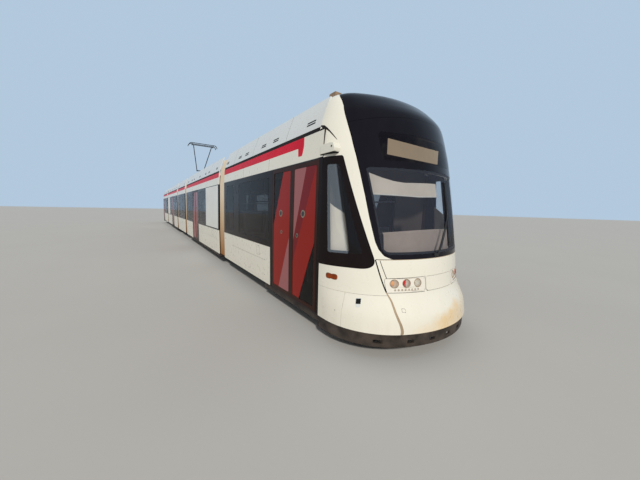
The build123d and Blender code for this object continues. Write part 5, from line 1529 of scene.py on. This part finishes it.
SIDE_BLIND = [
    (15.085, 1.275), (15.535, 1.275), (15.480, 1.540), (15.407, 1.812), (15.262, 1.895), (15.085, 2.005)
]
nose_plate(side_blind, SIDE_BLIND, -0.034, 0.002, cheek_point)
sill = Shape()
sill_top, sill_foot = [(15.19, 1.286), (15.665, 1.300)], [(15.20, 1.262), (15.68, 1.276)]
nose_band(sill, sill_top, sill_foot, -0.022, 0.05, cheek_point)
cab_piece(sill, "side_window_sills", desk_grey)
cab_piece(board, "display_board", board_tan, mirrored=False)
cab_piece(housing, "display_housing", mask_black, mirrored=False)
cab_piece(blind, "sun_blind", screen_cloth, mirrored=False)
cab_piece(rail, "sun_blind_rails", shroud_paint, mirrored=False, smooth=True)
cab_piece(side_blind, "side_blinds", blind_cloth)

# Roof: seams between the shrouds, fans in the equipment boxes, a small box ahead of them
DECK_TOP, SHROUD_TOP = 2.890, 3.420
SHROUD_LOW, SHROUD_BOW = (skin(GUTTER) - 0.012, GUTTER + 0.060), 0.0085


def shroud_bow(height):
    """Half-width of the shroud's bowed side at a height."""
    (y0, h0), (y1, h1) = SHROUD_LOW, (skin(SHROUD_TOP), SHROUD_TOP)
    share = (height - h0) / (h1 - h0)
    return y0 + (y1 - y0) * share + SHROUD_BOW * 4 * share * (1 - share)


def shroud_line(shape, x, wide=0.004, steps=10):
    """A seam up the platform side's shroud at a station."""
    heights = np.linspace(SHROUD_LOW[1], SHROUD_TOP - 0.004, steps + 1)
    points = [(x + side * wide / 2, -shroud_bow(h) - 0.0012, up(h)) for h in heights for side in (-1, 1)]
    faces = [(2 * i, 2 * i + 1, 2 * i + 3, 2 * i + 2) for i in range(steps)]
    shape.add(points, faces)


LOUVRE_ROWS, LOUVRE_HALF, LOUVRE_RISE = (3.088, 3.126), 0.113, 0.011
LOUVRES = {
    "cab": (10.220, 11.330, 11.840, 12.860, 13.430, 14.645),
    "mid": (2.700, 3.900, 4.500, 5.900, 7.100, 7.700, 8.900),
    "centre": (-1.100, 1.100),
}
SHROUD_SEAMS = {"cab": (10.90, 12.30, 13.90), "mid": (3.60, 5.00, 6.40, 8.00), "centre": (0.0,)}
GEAR = {
    "cab": ((10.800, 0.900, 1.500, 0.330), (12.350, 1.700, 1.700, 0.380), (14.000, 0.900, 1.500, 0.300)),
    "mid": ((3.300, 1.300, 1.600, 0.320), (5.200, 1.500, 1.700, 0.400), (7.600, 2.000, 1.600, 0.360)),
    "centre": (),
}
FAN_R, FAN_BLADES = 0.190, 9
BLADE_ENDS = ((0.066, 0.035), (0.178, 0.060))  # distance from the hub and half-width
BLADE_TWIST, BLADE_DROP, GUARD_TURN = 0.012, 0.022, 0.4
GUARD_RINGS = (0.060, 0.090, 0.120, 0.150, 0.180)


def flat_ring(x, radius, height, count):
    """Points of a level circle over the middle of the roof."""
    turns = np.linspace(0, 2 * math.pi, count + 1)[:-1]
    return [(x + radius * math.cos(t), radius * math.sin(t), height) for t in turns]


for module, gear in GEAR.items():
    seams = Shape()
    for x in SHROUD_SEAMS[module]:
        shroud_line(seams, x)
    for x in LOUVRES[module]:
        for h in LOUVRE_ROWS:
            corners = box_outline(x - LOUVRE_HALF, x + LOUVRE_HALF, h - LOUVRE_RISE, h + LOUVRE_RISE)
            points = [(px, -shroud_bow(ph) - 0.0014, up(ph)) for px, ph in corners]
            points += [(px, -shroud_bow(ph) + 0.010, up(ph)) for px, ph in corners]
            seams.add(points, OPEN_SLAB)
    on_module(seams, f"{module}_shroud_seams", gap_black, module)
    blades, guards, trims, pipes = [Shape() for _ in range(4)]
    for station, length, width, height in gear:
        top = up(DECK_TOP + height)
        for side in (-1, 1):
            x = station + side * length / 4
            hub = Vector((x, 0, top - BLADE_DROP))
            for k in range(FAN_BLADES):
                a = 2 * math.pi * k / FAN_BLADES
                along, across = Vector((math.cos(a), math.sin(a), 0)), Vector((-math.sin(a), math.cos(a), 0))
                corners = []
                for r, wide in BLADE_ENDS:
                    for sign in (-1, 1):
                        twist = Vector((0, 0, sign * BLADE_TWIST))
                        corners.append(hub + along * r + across * sign * wide + twist)
                a0, a1, b0, b1 = corners
                blades.add([tuple(p) for p in (a0, a1, b1, b0)], [(0, 1, 2, 3)])
            for r in GUARD_RINGS:
                guards.tube(flat_ring(x, r, top - 0.004, 32), 0.0022, 6, True)
            for t in (GUARD_TURN, GUARD_TURN + math.pi / 2):
                dx, dy = FAN_R * math.cos(t), FAN_R * math.sin(t)
                guards.tube([(x - dx, -dy, top - 0.0065), (x + dx, dy, top - 0.0065)], 0.003, 6)
            trims.tube(flat_ring(x, FAN_R + 0.006, top + 0.001, 48), 0.005, 8, True)
        for side in (-1, 1):
            for corner in (-1, 1):
                hinge_x = station + corner * (length / 2 - 0.16)
                hinge_y = side * (width / 2 + 0.018)
                hinge_low = (hinge_x - 0.04, hinge_y - 0.004, top - 0.030)
                trims.block(hinge_low, (hinge_x + 0.04, hinge_y + 0.004, top - 0.004))
        y = width / 2 + 0.09
        low = up(DECK_TOP) + 0.04
        for k in range(3):
            ends = (station - length / 2, station + length / 2)
            pipes.tube([(x, y - 0.03 * k, low + 0.012 * k) for x in ends], 0.011, 8)
    if gear:
        for shape, name, paint in (
            (blades, "fan_blades", dark_trim),
            (guards, "fan_guards", alloy),
            (trims, "fan_rims", dark_trim),
            (pipes, "roof_pipes", dark_trim),
        ):
            on_module(shape, f"{module}_{name}", paint, module, mirrored=False)
small_box = Shape()
box_side = rounded(box_outline(14.58, 14.74, DECK_TOP + 0.001, 3.625), 0.02)
small_box.prism([(x, up(h)) for x, h in box_side], -0.86, -0.74)
cab_piece(small_box, "aerial_box", rim_brown, mirrored=False, bevel=0.006)

# Cant panels: white, with open joints between them
for module, ((start, end), seams) in CANTS.items():
    cant = Shape()
    stops = (start, *seams, SEAM_X if module == "cab" else end)
    for low, high in zip(stops, stops[1:]):
        side_plate(cant, box_outline(low + 0.003, high - 0.003, HEAD + 0.003, GUTTER - 0.002), 0.0012, 0.0032)
    on_module(cant, f"{module}_cant_panels", white_paint, module, bevel=0.0008)

# Seats: a moulded shell on a pedestal, with a crowned cushion for the seat and one for the back
SEAT_ROWS = {
    "cab": (0.745, ((10.560, 1), (11.480, -1), (11.820, 1), (12.740, -1))),
    "mid": (0.350, ((3.000, 1), (3.800, -1), (6.300, 1), (7.200, -1), (7.600, 1), (8.500, -1))),
    "centre": (0.745, ((-1.080, 1), (-0.160, -1), (0.180, 1), (1.100, -1))),
}
# Middle of a pair, each seat's middle from it, a seat's half-width, its back behind the row's station
PAIR_Y, SEAT_SPREAD, SEAT_HALF, SEAT_BACK = 0.807, 0.221, 0.213, 0.21
CUSHION_CELLS = 20


def cushion(name, wide, long, thick, crown, pull, places):
    """A crowned cushion at each place, with a seam round it and its sides pulled in between the corners."""
    n = CUSHION_CELLS
    seam_level = thick * 0.45
    shape = Shape()
    ticks = [math.sin(math.pi / 2 * t) for t in np.linspace(-1, 1, n + 1)]
    for x, y in places:
        top, low = [], []
        for u in ticks:
            for v in ticks:
                swell = ((1 - abs(u) ** 3.2) * (1 - abs(v) ** 3.2)) ** 0.42
                px = long / 2 * u * (1 - pull * (1 - v * v))
                py = wide / 2 * v * (1 - pull * (1 - u * u))
                channel = 1 - 0.22 * math.exp(-((abs(u) - 0.62) / 0.035) ** 2)
                crowned = thick * 0.55 + crown * (1 - u * u) * (1 - v * v)
                top.append((x + px, y + py, seam_level + crowned * swell * channel))
                low.append((x + px, y + py, seam_level - seam_level * swell))
        m = n + 1
        faces = grid_faces(m, m, turned=True)
        shape.add(top, faces)
        shape.add(low, [face[::-1] for face in faces])
        edge = [(i, 0) for i in range(n)] + [(n, j) for j in range(n)]
        edge += [(i, n) for i in range(n, 0, -1)] + [(0, j) for j in range(n, 0, -1)]
        shape.tube([top[i * m + j] for i, j in edge], 0.0028, 6, True)
    return shape.make(name, moquette, smooth=True)


PAIR_PLACES = ((0, -SEAT_SPREAD), (0, SEAT_SPREAD))
seat_pad = cushion("seat_pad", 0.425, 0.375, 0.040, 0.022, 0.025, PAIR_PLACES)
back_pad = cushion("back_pad", 0.410, 0.500, 0.034, 0.018, 0.030, PAIR_PLACES)
BACK_LEAN = math.atan2(0.092, 0.525)
# Pad, name, distance ahead of the seat's back, height over the floor, and turns that set it
PADS = (
    (seat_pad, "seat", 0.240, 0.428, (Matrix.Rotation(-0.02, 4, "Y"),)),
    (
        back_pad, "back", 0.022, 0.740,
        (Matrix.Rotation(math.pi / 2 - BACK_LEAN, 4, "Y"), Matrix.Rotation(math.pi, 4, "Z")),
    ),
)
# Side views of the shell and the pedestal, from the seat's back
SHELL = (
    (-0.034, 0.612), (-0.024, 0.60), (0.068, 0.075), (0.105, 0.018), (0.420, 0.026), (0.432, 0.012),
    (0.420, -0.020), (0.27, -0.030), (0.075, -0.020), (0.035, 0.02), (-0.060, 0.590), (-0.052, 0.614),
)
PEDESTAL = ((0.02, 0.0), (0.23, 0.0), (0.20, 0.385), (0.06, 0.385))


def seat_frame(shape, x, facing, side, floor_h):
    """Adds a double seat's shell and pedestal, within the CAD's seat, and gives the path of its grab rail."""
    back, base, middle = x - facing * SEAT_BACK, up(floor_h + 0.405), side * PAIR_Y
    outline = [(back + facing * (u - 0.02), base + v * 0.98) for u, v in SHELL]
    for seat in (-1, 1):
        y = middle + seat * SEAT_SPREAD
        shape.prism(outline[::facing], y - SEAT_HALF, y + SEAT_HALF)
    foot = [(back + facing * u, up(floor_h) + v) for u, v in PEDESTAL]
    shape.prism(foot[::facing], middle - 0.06, middle + 0.06)
    path, rail_h = [], up(floor_h + 1.015)
    for t in np.linspace(-1, 1, 13):
        path.append((back + facing * -0.045, middle + t * 0.40, rail_h - abs(t) ** 6 * 0.03))
    return path


for module, (floor_h, rows) in SEAT_ROWS.items():
    shells, rails = Shape(), Shape()
    for x, facing in rows:
        for side in (-1, 1):
            rails.tube(seat_frame(shells, x, facing, side, floor_h), 0.011, 8)
            half_turn = Matrix.Rotation(0 if facing > 0 else math.pi, 4, "Z")
            for pad, label, ahead, height, turns in PADS:
                copy = pad.copy()
                scene.collection.objects.link(copy)
                pad_x = x - facing * SEAT_BACK + facing * ahead
                spot = Matrix.Translation((pad_x, side * PAIR_Y, up(floor_h + height)))
                for turn in (half_turn, *turns):
                    spot = spot @ turn
                copy.matrix_world = spot
                copy.name = f"{module}_{label}_pad_{round(x * 100)}_{'l' if side > 0 else 'r'}"
                if module == "centre":
                    copies = (carry(copy, "centre"),)
                else:
                    copies = both_ends(copy, module)
    name, seat_node = f"{module}_seat_shells", (f"{module}_inside",)
    on_module(shells, name, seat_shell, module, seat_node, 0.005, mirrored=False)
    on_module(rails, f"{module}_seat_rails", pole_steel, module, mirrored=False)
for pad in (seat_pad, back_pad):
    bpy.data.objects.remove(pad)

# Inside: poles with their fittings, grab rails, ceiling lamps and coves
POLES = {"cab": (13.560, 14.850), "mid": (4.450, 5.620), "centre": ()}
CEILING, DOOR_FLOOR = 2.840, 0.350
CEILING_SPANS = {"cab": (10.10, 14.90), "mid": (2.36, 9.27), "centre": (-1.55, 1.55)}
POLE_Y, RAIL_Y, RAIL_H, HANGER_STEP, STRIP_Y = 0.56, 0.62, 2.02, 1.1, 0.42
POLE_FOOT = ((0.001, 0.032), (0.010, 0.030), (0.020, 0.017))
POLE_HEAD = ((0, 0.017), (0.010, 0.030), (0.020, 0.032))
# Front views of a lamp strip, from its middle on the ceiling, and of the cove at the ceiling's edge
STRIP = ((-0.06, -0.016), (0.06, -0.016), (0.075, -0.004), (-0.075, -0.004))
COVE = (
    (0.80, up(CEILING) - 0.006), (1.16, up(CEILING) - 0.10), (1.215, up(2.57)),
    (1.222, up(2.57)), (1.19, up(CEILING) - 0.04), (0.85, up(CEILING) - 0.002),
)
for module, stations in POLES.items():
    bars, strips, ceiling = Shape(), Shape(), Shape()
    start, end = CEILING_SPANS[module]
    for x in stations:
        for y in (-POLE_Y, POLE_Y):
            bars.turned(POLE_FOOT, (x, y, up(DOOR_FLOOR)), UPWARD, 16)
            bars.tube([(x, y, up(DOOR_FLOOR) + 0.01), (x, y, up(CEILING) - 0.03)], 0.0165, 14)
            bars.turned(POLE_HEAD, (x, y, up(CEILING) - 0.025), UPWARD, 16)
    for y in (-RAIL_Y, RAIL_Y):
        bars.tube([(start + 0.05, y, up(RAIL_H)), (end - 0.05, y, up(RAIL_H))], 0.0155, 12)
        count = int((end - start) / HANGER_STEP)
        for x in np.linspace(start + 0.3, end - 0.3, count + 1):
            bars.tube([(x, y, up(RAIL_H)), (x, y, up(CEILING) - 0.012)], 0.008, 8)
    for y in (-STRIP_Y, STRIP_Y):
        strips.prism([(y + across, up(CEILING) + rise) for across, rise in STRIP], start, end, 0)
    for side in (-1, 1):
        ceiling.prism([(side * across, height) for across, height in COVE][:: -side], start, end, 0)
    for shape, name, paint in (
        (bars, "grab_rails", pole_steel),
        (strips, "ceiling_lamps", ceiling_white),
        (ceiling, "ceiling_coves", wall_beige),
    ):
        on_module(shape, f"{module}_{name}", paint, module, mirrored=False)

# Cab: bulkhead, desk with its instruments, driver's seat
bulkhead = Shape()
BULKHEAD_X, CAB_FLOOR = 14.955, 0.352
face = [(-1.215, CAB_FLOOR), (1.215, CAB_FLOOR), (1.215, 2.2), (1.19, 2.838), (-1.19, 2.838), (-1.215, 2.2)]
opening = rounded(box_outline(-0.378, 0.378, 1.102, 2.298), 0.06)


def bulkhead_point(across, height, proud=0.0):
    """A point on the bulkhead, or ahead of it by some distance."""
    return (BULKHEAD_X + proud, across, up(height))


holed_plate(bulkhead, face, [opening], 0.012, 0.024, bulkhead_point)
holed_plate(bulkhead, face[::-1], [opening[::-1]], -0.012, -0.0001, bulkhead_point)
desk, console, screens, knobs = Shape(), Shape(), Shape(), Shape()
DESK_BACK, DESK_INSET = 15.53, 0.070
levels = ((CAB_FLOOR, DESK_INSET), (0.80, DESK_INSET), (1.04, DESK_INSET + 0.005), (1.078, DESK_INSET + 0.03))
columns = np.linspace(-0.98, 0.98, 41)
desk_rows = [[(nose_x(y, h, inset), y, up(h)) for y in columns] for h, inset in levels]
for station, height in ((DESK_BACK + 0.10, 1.070), (DESK_BACK, 1.030), (DESK_BACK, 0.93)):
    desk_rows.append([(station, y, up(height)) for y in columns])
# Cowl over the desk, by height and distance behind the glass; it sinks towards its sides
COWL = ((1.05, 0.10), (1.585, 0.085), (1.605, 0.10), (1.595, 0.14), (1.45, 0.27), (1.25, 0.31), (1.06, 0.32))
COWL_SINK = 0.06
cowl_ys = columns[4:37]
cowl = [[(nose_x(y, h, inset), y, up(h) - COWL_SINK * y * y) for y in cowl_ys] for h, inset in COWL]
for rows in (cowl, desk_rows):
    desk.add([p for row in rows for p in row], grid_faces(len(rows), len(rows[0])))
for side in (-1, 1):
    y0, y1 = sorted((side * 0.42, side * 0.98))
    desk.block((DESK_BACK, y0, up(CAB_FLOOR)), (15.74, y1, up(1.02)))
# Binnacle in side view, and the control panels beside it
BINNACLE = ((15.600, 1.066), (15.830, 1.066), (15.850, 1.150), (15.800, 1.215), (15.640, 1.110))
BINNACLE_HALF, PANEL_SPANS = 0.44, ((0.50, 0.88), (-0.88, -0.50))
PANEL_BACK, PANEL_FRONT, PANEL_LOW, PANEL_TOP = 15.560, 15.760, 1.064, 1.092
console.prism(rounded([(x, up(h)) for x, h in BINNACLE], 0.012), -BINNACLE_HALF, BINNACLE_HALF)
for y0, y1 in PANEL_SPANS:
    console.block((PANEL_BACK, y0, up(PANEL_LOW)), (PANEL_FRONT, y1, up(PANEL_TOP)))
# Screens: place across and width; they lie on the binnacle's slope
SCREENS, SCREEN_TALL = ((-0.27, 0.13), (0.0, 0.11), (0.27, 0.13)), 0.062
SCREEN_CORNERS = ((-1, -1), (1, -1), (1, 1), (-1, 1))
normal, slope = Vector((-0.105, 0, 0.160)).normalized(), Vector((0.160, 0, 0.105)).normalized()
for y, wide in SCREENS:
    middle = Vector((15.720, y, up(1.1625))) + normal * 0.003
    corners = []
    for sx, sy in SCREEN_CORNERS:
        corners.append(middle + Vector((0, sy * wide * 0.85, 0)) + slope * sx * SCREEN_TALL)
    screens.add(corners + [p - normal * 0.002 for p in corners], SLAB_FACES)
for y in (0.58, 0.66, 0.74, -0.58, -0.66):
    knobs.turned(((0, 0.014), (0.012, 0.013), (0.018, 0.008)), (15.65, y, up(PANEL_TOP)), UPWARD, 14)
# Levers: profile, place across and lean
LEVERS = (
    (((0, 0.016), (0.06, 0.010), (0.075, 0.022), (0.115, 0.022), (0.125, 0.010)), 0.80, -0.25),
    (((0, 0.012), (0.09, 0.008), (0.10, 0.016), (0.125, 0.016), (0.13, 0.008)), -0.78, -0.2),
)
for profile, y, lean in LEVERS:
    knobs.turned(profile, (15.62, y, up(PANEL_TOP)), (lean, 0, 1), 16)
cab_piece(bulkhead, "cab_bulkhead", bulkhead_grey, ("driver_place",), mirrored=False)
cab_piece(desk, "driver_desk", desk_grey, mirrored=False)
cab_piece(console, "driver_console", dark_trim, mirrored=False, bevel=0.006)
cab_piece(screens, "console_screens", screen_black, mirrored=False)
cab_piece(knobs, "desk_controls", dark_trim, mirrored=False, smooth=True)

SEAT_X, ARM_Y = 15.260, 0.245
COLUMN = ((0, 0.16), (0.02, 0.155), (0.03, 0.07), (0.36, 0.06), (0.40, 0.12))
# Side views of the driver's seat, from its station
SEAT_PAN = ((-0.19, 0.745), (0.20, 0.745), (0.215, 0.80), (-0.19, 0.80))
SEAT_REST = ((-0.175, 0.78), (-0.235, 1.42), (-0.205, 1.43), (-0.145, 0.80))
ARM = ((-0.17, 1.02), (-0.02, 1.035), (0.12, 1.03))
ARM_POST = ((-0.17, 1.02), (-0.155, 0.80))
seat_shape, arms = Shape(), Shape()
seat_shape.turned(COLUMN, (SEAT_X, 0, up(DOOR_FLOOR)), UPWARD, 28)
for side_view, radius, half in ((SEAT_PAN, 0.015, 0.225), (SEAT_REST, 0.012, 0.21)):
    seat_shape.prism(rounded([(SEAT_X + ahead, up(h)) for ahead, h in side_view], radius), -half, half)
for y in (-ARM_Y, ARM_Y):
    arms.tube([(SEAT_X + ahead, y, up(h)) for ahead, h in ARM], (0.016, 0.020, 0.016), 10)
    arms.tube([(SEAT_X + ahead, y, up(h)) for ahead, h in ARM_POST], 0.010, 8)
cab_piece(seat_shape, "driver_seat_frame", seat_shell, mirrored=False, bevel=0.006)
cab_piece(arms, "driver_armrests", dark_trim, mirrored=False, smooth=True)
driver_pad = cushion("driver_seat_cushion", 0.430, 0.400, 0.075, 0.020, 0.020, ((0, 0),))
driver_pad.matrix_world = Matrix.Translation((SEAT_X + 0.005, 0, up(0.800)))
driver_back = cushion("driver_back_cushion", 0.410, 0.560, 0.065, 0.020, 0.025, ((0, 0),))
back_turn = Matrix.Rotation(math.pi / 2 - 0.095, 4, "Y") @ Matrix.Rotation(math.pi, 4, "Z")
driver_back.matrix_world = Matrix.Translation((SEAT_X - 0.165, 0, up(1.13))) @ back_turn
driver_head = cushion("driver_headrest", 0.250, 0.150, 0.055, 0.012, 0.03, ((0, 0),))
driver_head.matrix_world = Matrix.Translation((SEAT_X - 0.215, 0, up(1.50))) @ back_turn
for pad in (driver_pad, driver_back, driver_head):
    finish_with(pad, seat_black)
    for one in both_ends(pad, "cab"):
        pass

# Pantograph's base: insulators with sheds, frame, brackets and the rod's pin
insulators, base, bolts = Shape(), Shape(), Shape()
INSULATOR_Y, INSULATOR_SHEDS = 0.420, 3
REAR_X, FRONT_X, BEAM_LOW, BEAM_TOP, BEAM_HALF = -0.650, 0.450, 0.222, 0.279, 0.029
PIVOT_X, PIVOT_H, PIVOT_HALF, CHEEK_R = -0.200, 3.290, 0.058, 0.050
SPRING_TURNS, SPRING_R, SPRING_RISE = 14, 0.026, 0.315
low = up(DECK_TOP)
for x in (REAR_X, FRONT_X):
    for y in (INSULATOR_Y, -INSULATOR_Y):
        profile = [(0.002, 0.050), (0.018, 0.050), (0.024, 0.036)]
        for shed in range(INSULATOR_SHEDS):
            z = 0.036 + 0.056 * shed
            profile += [(z, 0.038), (z + 0.006, 0.069), (z + 0.012, 0.069), (z + 0.024, 0.040)]
            profile.append((z + 0.050, 0.036))
        profile += [(0.206, 0.036), (0.210, 0.046), (0.219, 0.046)]
        insulators.turned(profile, (x, y, low), UPWARD, 32)
        bolts.turned(((0, 0.013), (0.010, 0.012)), (x, y, low + 0.281), UPWARD, 6)
for y in (-INSULATOR_Y, INSULATOR_Y):
    beam = [(x, low + z) for x, z in box_outline(-0.750, 0.550, BEAM_LOW, BEAM_TOP)]
    base.prism(beam, y - BEAM_HALF, y + BEAM_HALF)
for x in (REAR_X, FRONT_X):
    base.block((x - BEAM_HALF, -0.419, low + BEAM_LOW), (x + BEAM_HALF, 0.419, low + 0.259))
for y0, y1 in ((-0.418, 0.160), (0.232, 0.418)):
    base.block((PIVOT_X - PIVOT_HALF, y0, low + BEAM_LOW), (PIVOT_X + PIVOT_HALF, y1, low + BEAM_TOP))
saddle_low = (PIVOT_X - PIVOT_HALF, 0.150, low + BEAM_LOW)
base.block(saddle_low, (PIVOT_X - 0.102 + PIVOT_HALF, 0.240, low + 0.240))
for y in (-0.330, 0.330):
    cheek = [(PIVOT_X - 0.054, low + BEAM_TOP), (PIVOT_X + 0.054, low + BEAM_TOP)]
    cheek.append((PIVOT_X + CHEEK_R, up(PIVOT_H) - 0.02))
    for t in np.linspace(0, math.pi, 13):
        cheek.append((PIVOT_X + CHEEK_R * math.cos(t), up(PIVOT_H) + CHEEK_R * math.sin(t)))
    cheek.append((PIVOT_X - CHEEK_R, up(PIVOT_H) - 0.02))
    base.prism(cheek, y - 0.013, y + 0.013)
base.turned(((0, 0.0098), (0.070, 0.0098)), (PIVOT_X + 0.020, 0.188, up(PIVOT_H - 0.150)), (0, 1, 0), 16)
springs = Shape()
for y in (-0.16, 0.05):
    coil = []
    for t in np.linspace(0, 1, 225):
        a = t * 2 * math.pi * SPRING_TURNS
        coil_y, coil_z = y + SPRING_R * math.cos(a), low + SPRING_RISE + SPRING_R * math.sin(a)
        coil.append((PIVOT_X + 0.14 + 0.42 * t, coil_y, coil_z))
    springs.tube(coil, 0.005, 6)
    springs.tube([(PIVOT_X + 0.56, y, low + SPRING_RISE), (PIVOT_X + 0.62, y, low + 0.290)], 0.007, 8)
carry(insulators.make("panto_insulators", porcelain, smooth=True), "centre", ("panto_base",))
carry(beveled(base.make("panto_frame", panto_paint), 0.004), "centre", ("panto_base",))
carry(bolts.make("panto_bolts", steel), "centre")
carry(springs.make("panto_springs", steel, smooth=True), "centre")

# CAD nodes that keep their shape
FINISHES = {
    "skirt": white_paint,
    "band": band_black,
    "glass": dark_glass,
    "doors": leaf_brown,
    "roof": shroud_paint,
    "floor": underframe,
    "bogie": bogie_paint,
    "inside": wall_beige,
    "bellows": bellows_tan,
    "lamps": chrome,
    "nose": white_paint,
    "mask": mask_black,
    "windscreen": clear_glass,
}
for name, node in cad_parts.items():
    stem = name.split("_")
    if stem[0] == "driver":
        finish_with(node, wall_beige)
    elif stem[0] in ("cab", "mid", "centre"):
        finish_with(node, FINISHES[stem[1]])
        if name.startswith("cab_glass"):
            finish_with(node, dark_glass, inner_glass)
            for face in node.data.polygons:
                face.material_index = int(abs((node.matrix_world @ face.center).x) > SEAM_X)
    elif stem[0] == "wheelset":
        finish_with(node, steel)
    else:
        finish_with(node, carbon if stem[1] == "head" else panto_paint)

# Camera, as in the photograph
EYE = (17.96, -3.346, up(1.860))
YAW, PITCH, ROLL = 0.611670468, 0.122293275, 0.0221469554
FOCAL, SENSOR = 14.302, 36

ahead = Vector((-math.cos(YAW) * math.cos(PITCH), math.sin(YAW) * math.cos(PITCH), -math.sin(PITCH)))
right = ahead.cross(Vector(UPWARD)).normalized()
above = right.cross(ahead)
rolled_right = math.cos(ROLL) * right + math.sin(ROLL) * above
rolled_above = math.cos(ROLL) * above - math.sin(ROLL) * right
camera_data = bpy.data.cameras.new("camera")
camera_data.lens, camera_data.sensor_width = FOCAL, SENSOR
camera_data.clip_start, camera_data.clip_end = 0.05, 500
camera = bpy.data.objects.new("camera", camera_data)
scene.collection.objects.link(camera)
turn = Matrix((rolled_right, rolled_above, -ahead)).transposed().to_4x4()
camera.matrix_world = Matrix.Translation(EYE) @ turn
scene.camera = camera

# Floor and light
GROUND_HALF = 150
ground = Shape()
ground_corners = box_outline(-GROUND_HALF, GROUND_HALF, -GROUND_HALF, GROUND_HALF)
ground.add([(x, y, 0) for x, y in ground_corners], [(0, 1, 2, 3)])
floor_paint = worn("studio_floor", (0.56, 0.55, 0.53), 0.9, vary=0.01, scale=0.4, grain=20, bump=0.02)
floor = ground.make("studio_floor", floor_paint)

# The sky lights with one colour, and is seen, mirrored and seen through glass with another
SKY_LIGHT, SKY_STRENGTH = (0.92, 0.97, 1.0, 1), 0.38
SKY_SEEN = (0.45, 0.58, 0.72, 1)
world = bpy.data.worlds.new("studio")
world.use_nodes = True
scene.world = world
tree = world.node_tree
background = tree.nodes["Background"]
seen = tree.nodes.new("ShaderNodeBackground")
for node, colour, strength in ((background, SKY_LIGHT, SKY_STRENGTH), (seen, SKY_SEEN, 1.0)):
    node.inputs[0].default_value = colour
    node.inputs[1].default_value = strength
path = tree.nodes.new("ShaderNodeLightPath")
blend = tree.nodes.new("ShaderNodeMixShader")
share = path.outputs["Is Camera Ray"]
for ray in ("Is Glossy Ray", "Is Transmission Ray"):
    either = tree.nodes.new("ShaderNodeMath")
    either.operation = "MAXIMUM"
    tree.links.new(share, either.inputs[0])
    tree.links.new(path.outputs[ray], either.inputs[1])
    share = either.outputs[0]
for output, target in (
    (share, blend.inputs[0]),
    (background.outputs[0], blend.inputs[1]),
    (seen.outputs[0], blend.inputs[2]),
    (blend.outputs[0], tree.nodes["World Output"].inputs[0]),
):
    tree.links.new(output, target)

KEY_PLACE, KEY_AIM = Vector((29.6, -9.4, 14)), Vector((12, 0, 1))
key_data = bpy.data.lights.new("key", "SUN")
key_data.energy, key_data.color, key_data.angle = 2.5, (1.0, 0.955, 0.88), math.radians(4)
key = bpy.data.objects.new("key", key_data)
scene.collection.objects.link(key)
key.location = KEY_PLACE
key.rotation_euler = (KEY_AIM - KEY_PLACE).to_track_quat("-Z", "Y").to_euler()
key.visible_glossy = False

scene.view_settings.view_transform = "Standard"
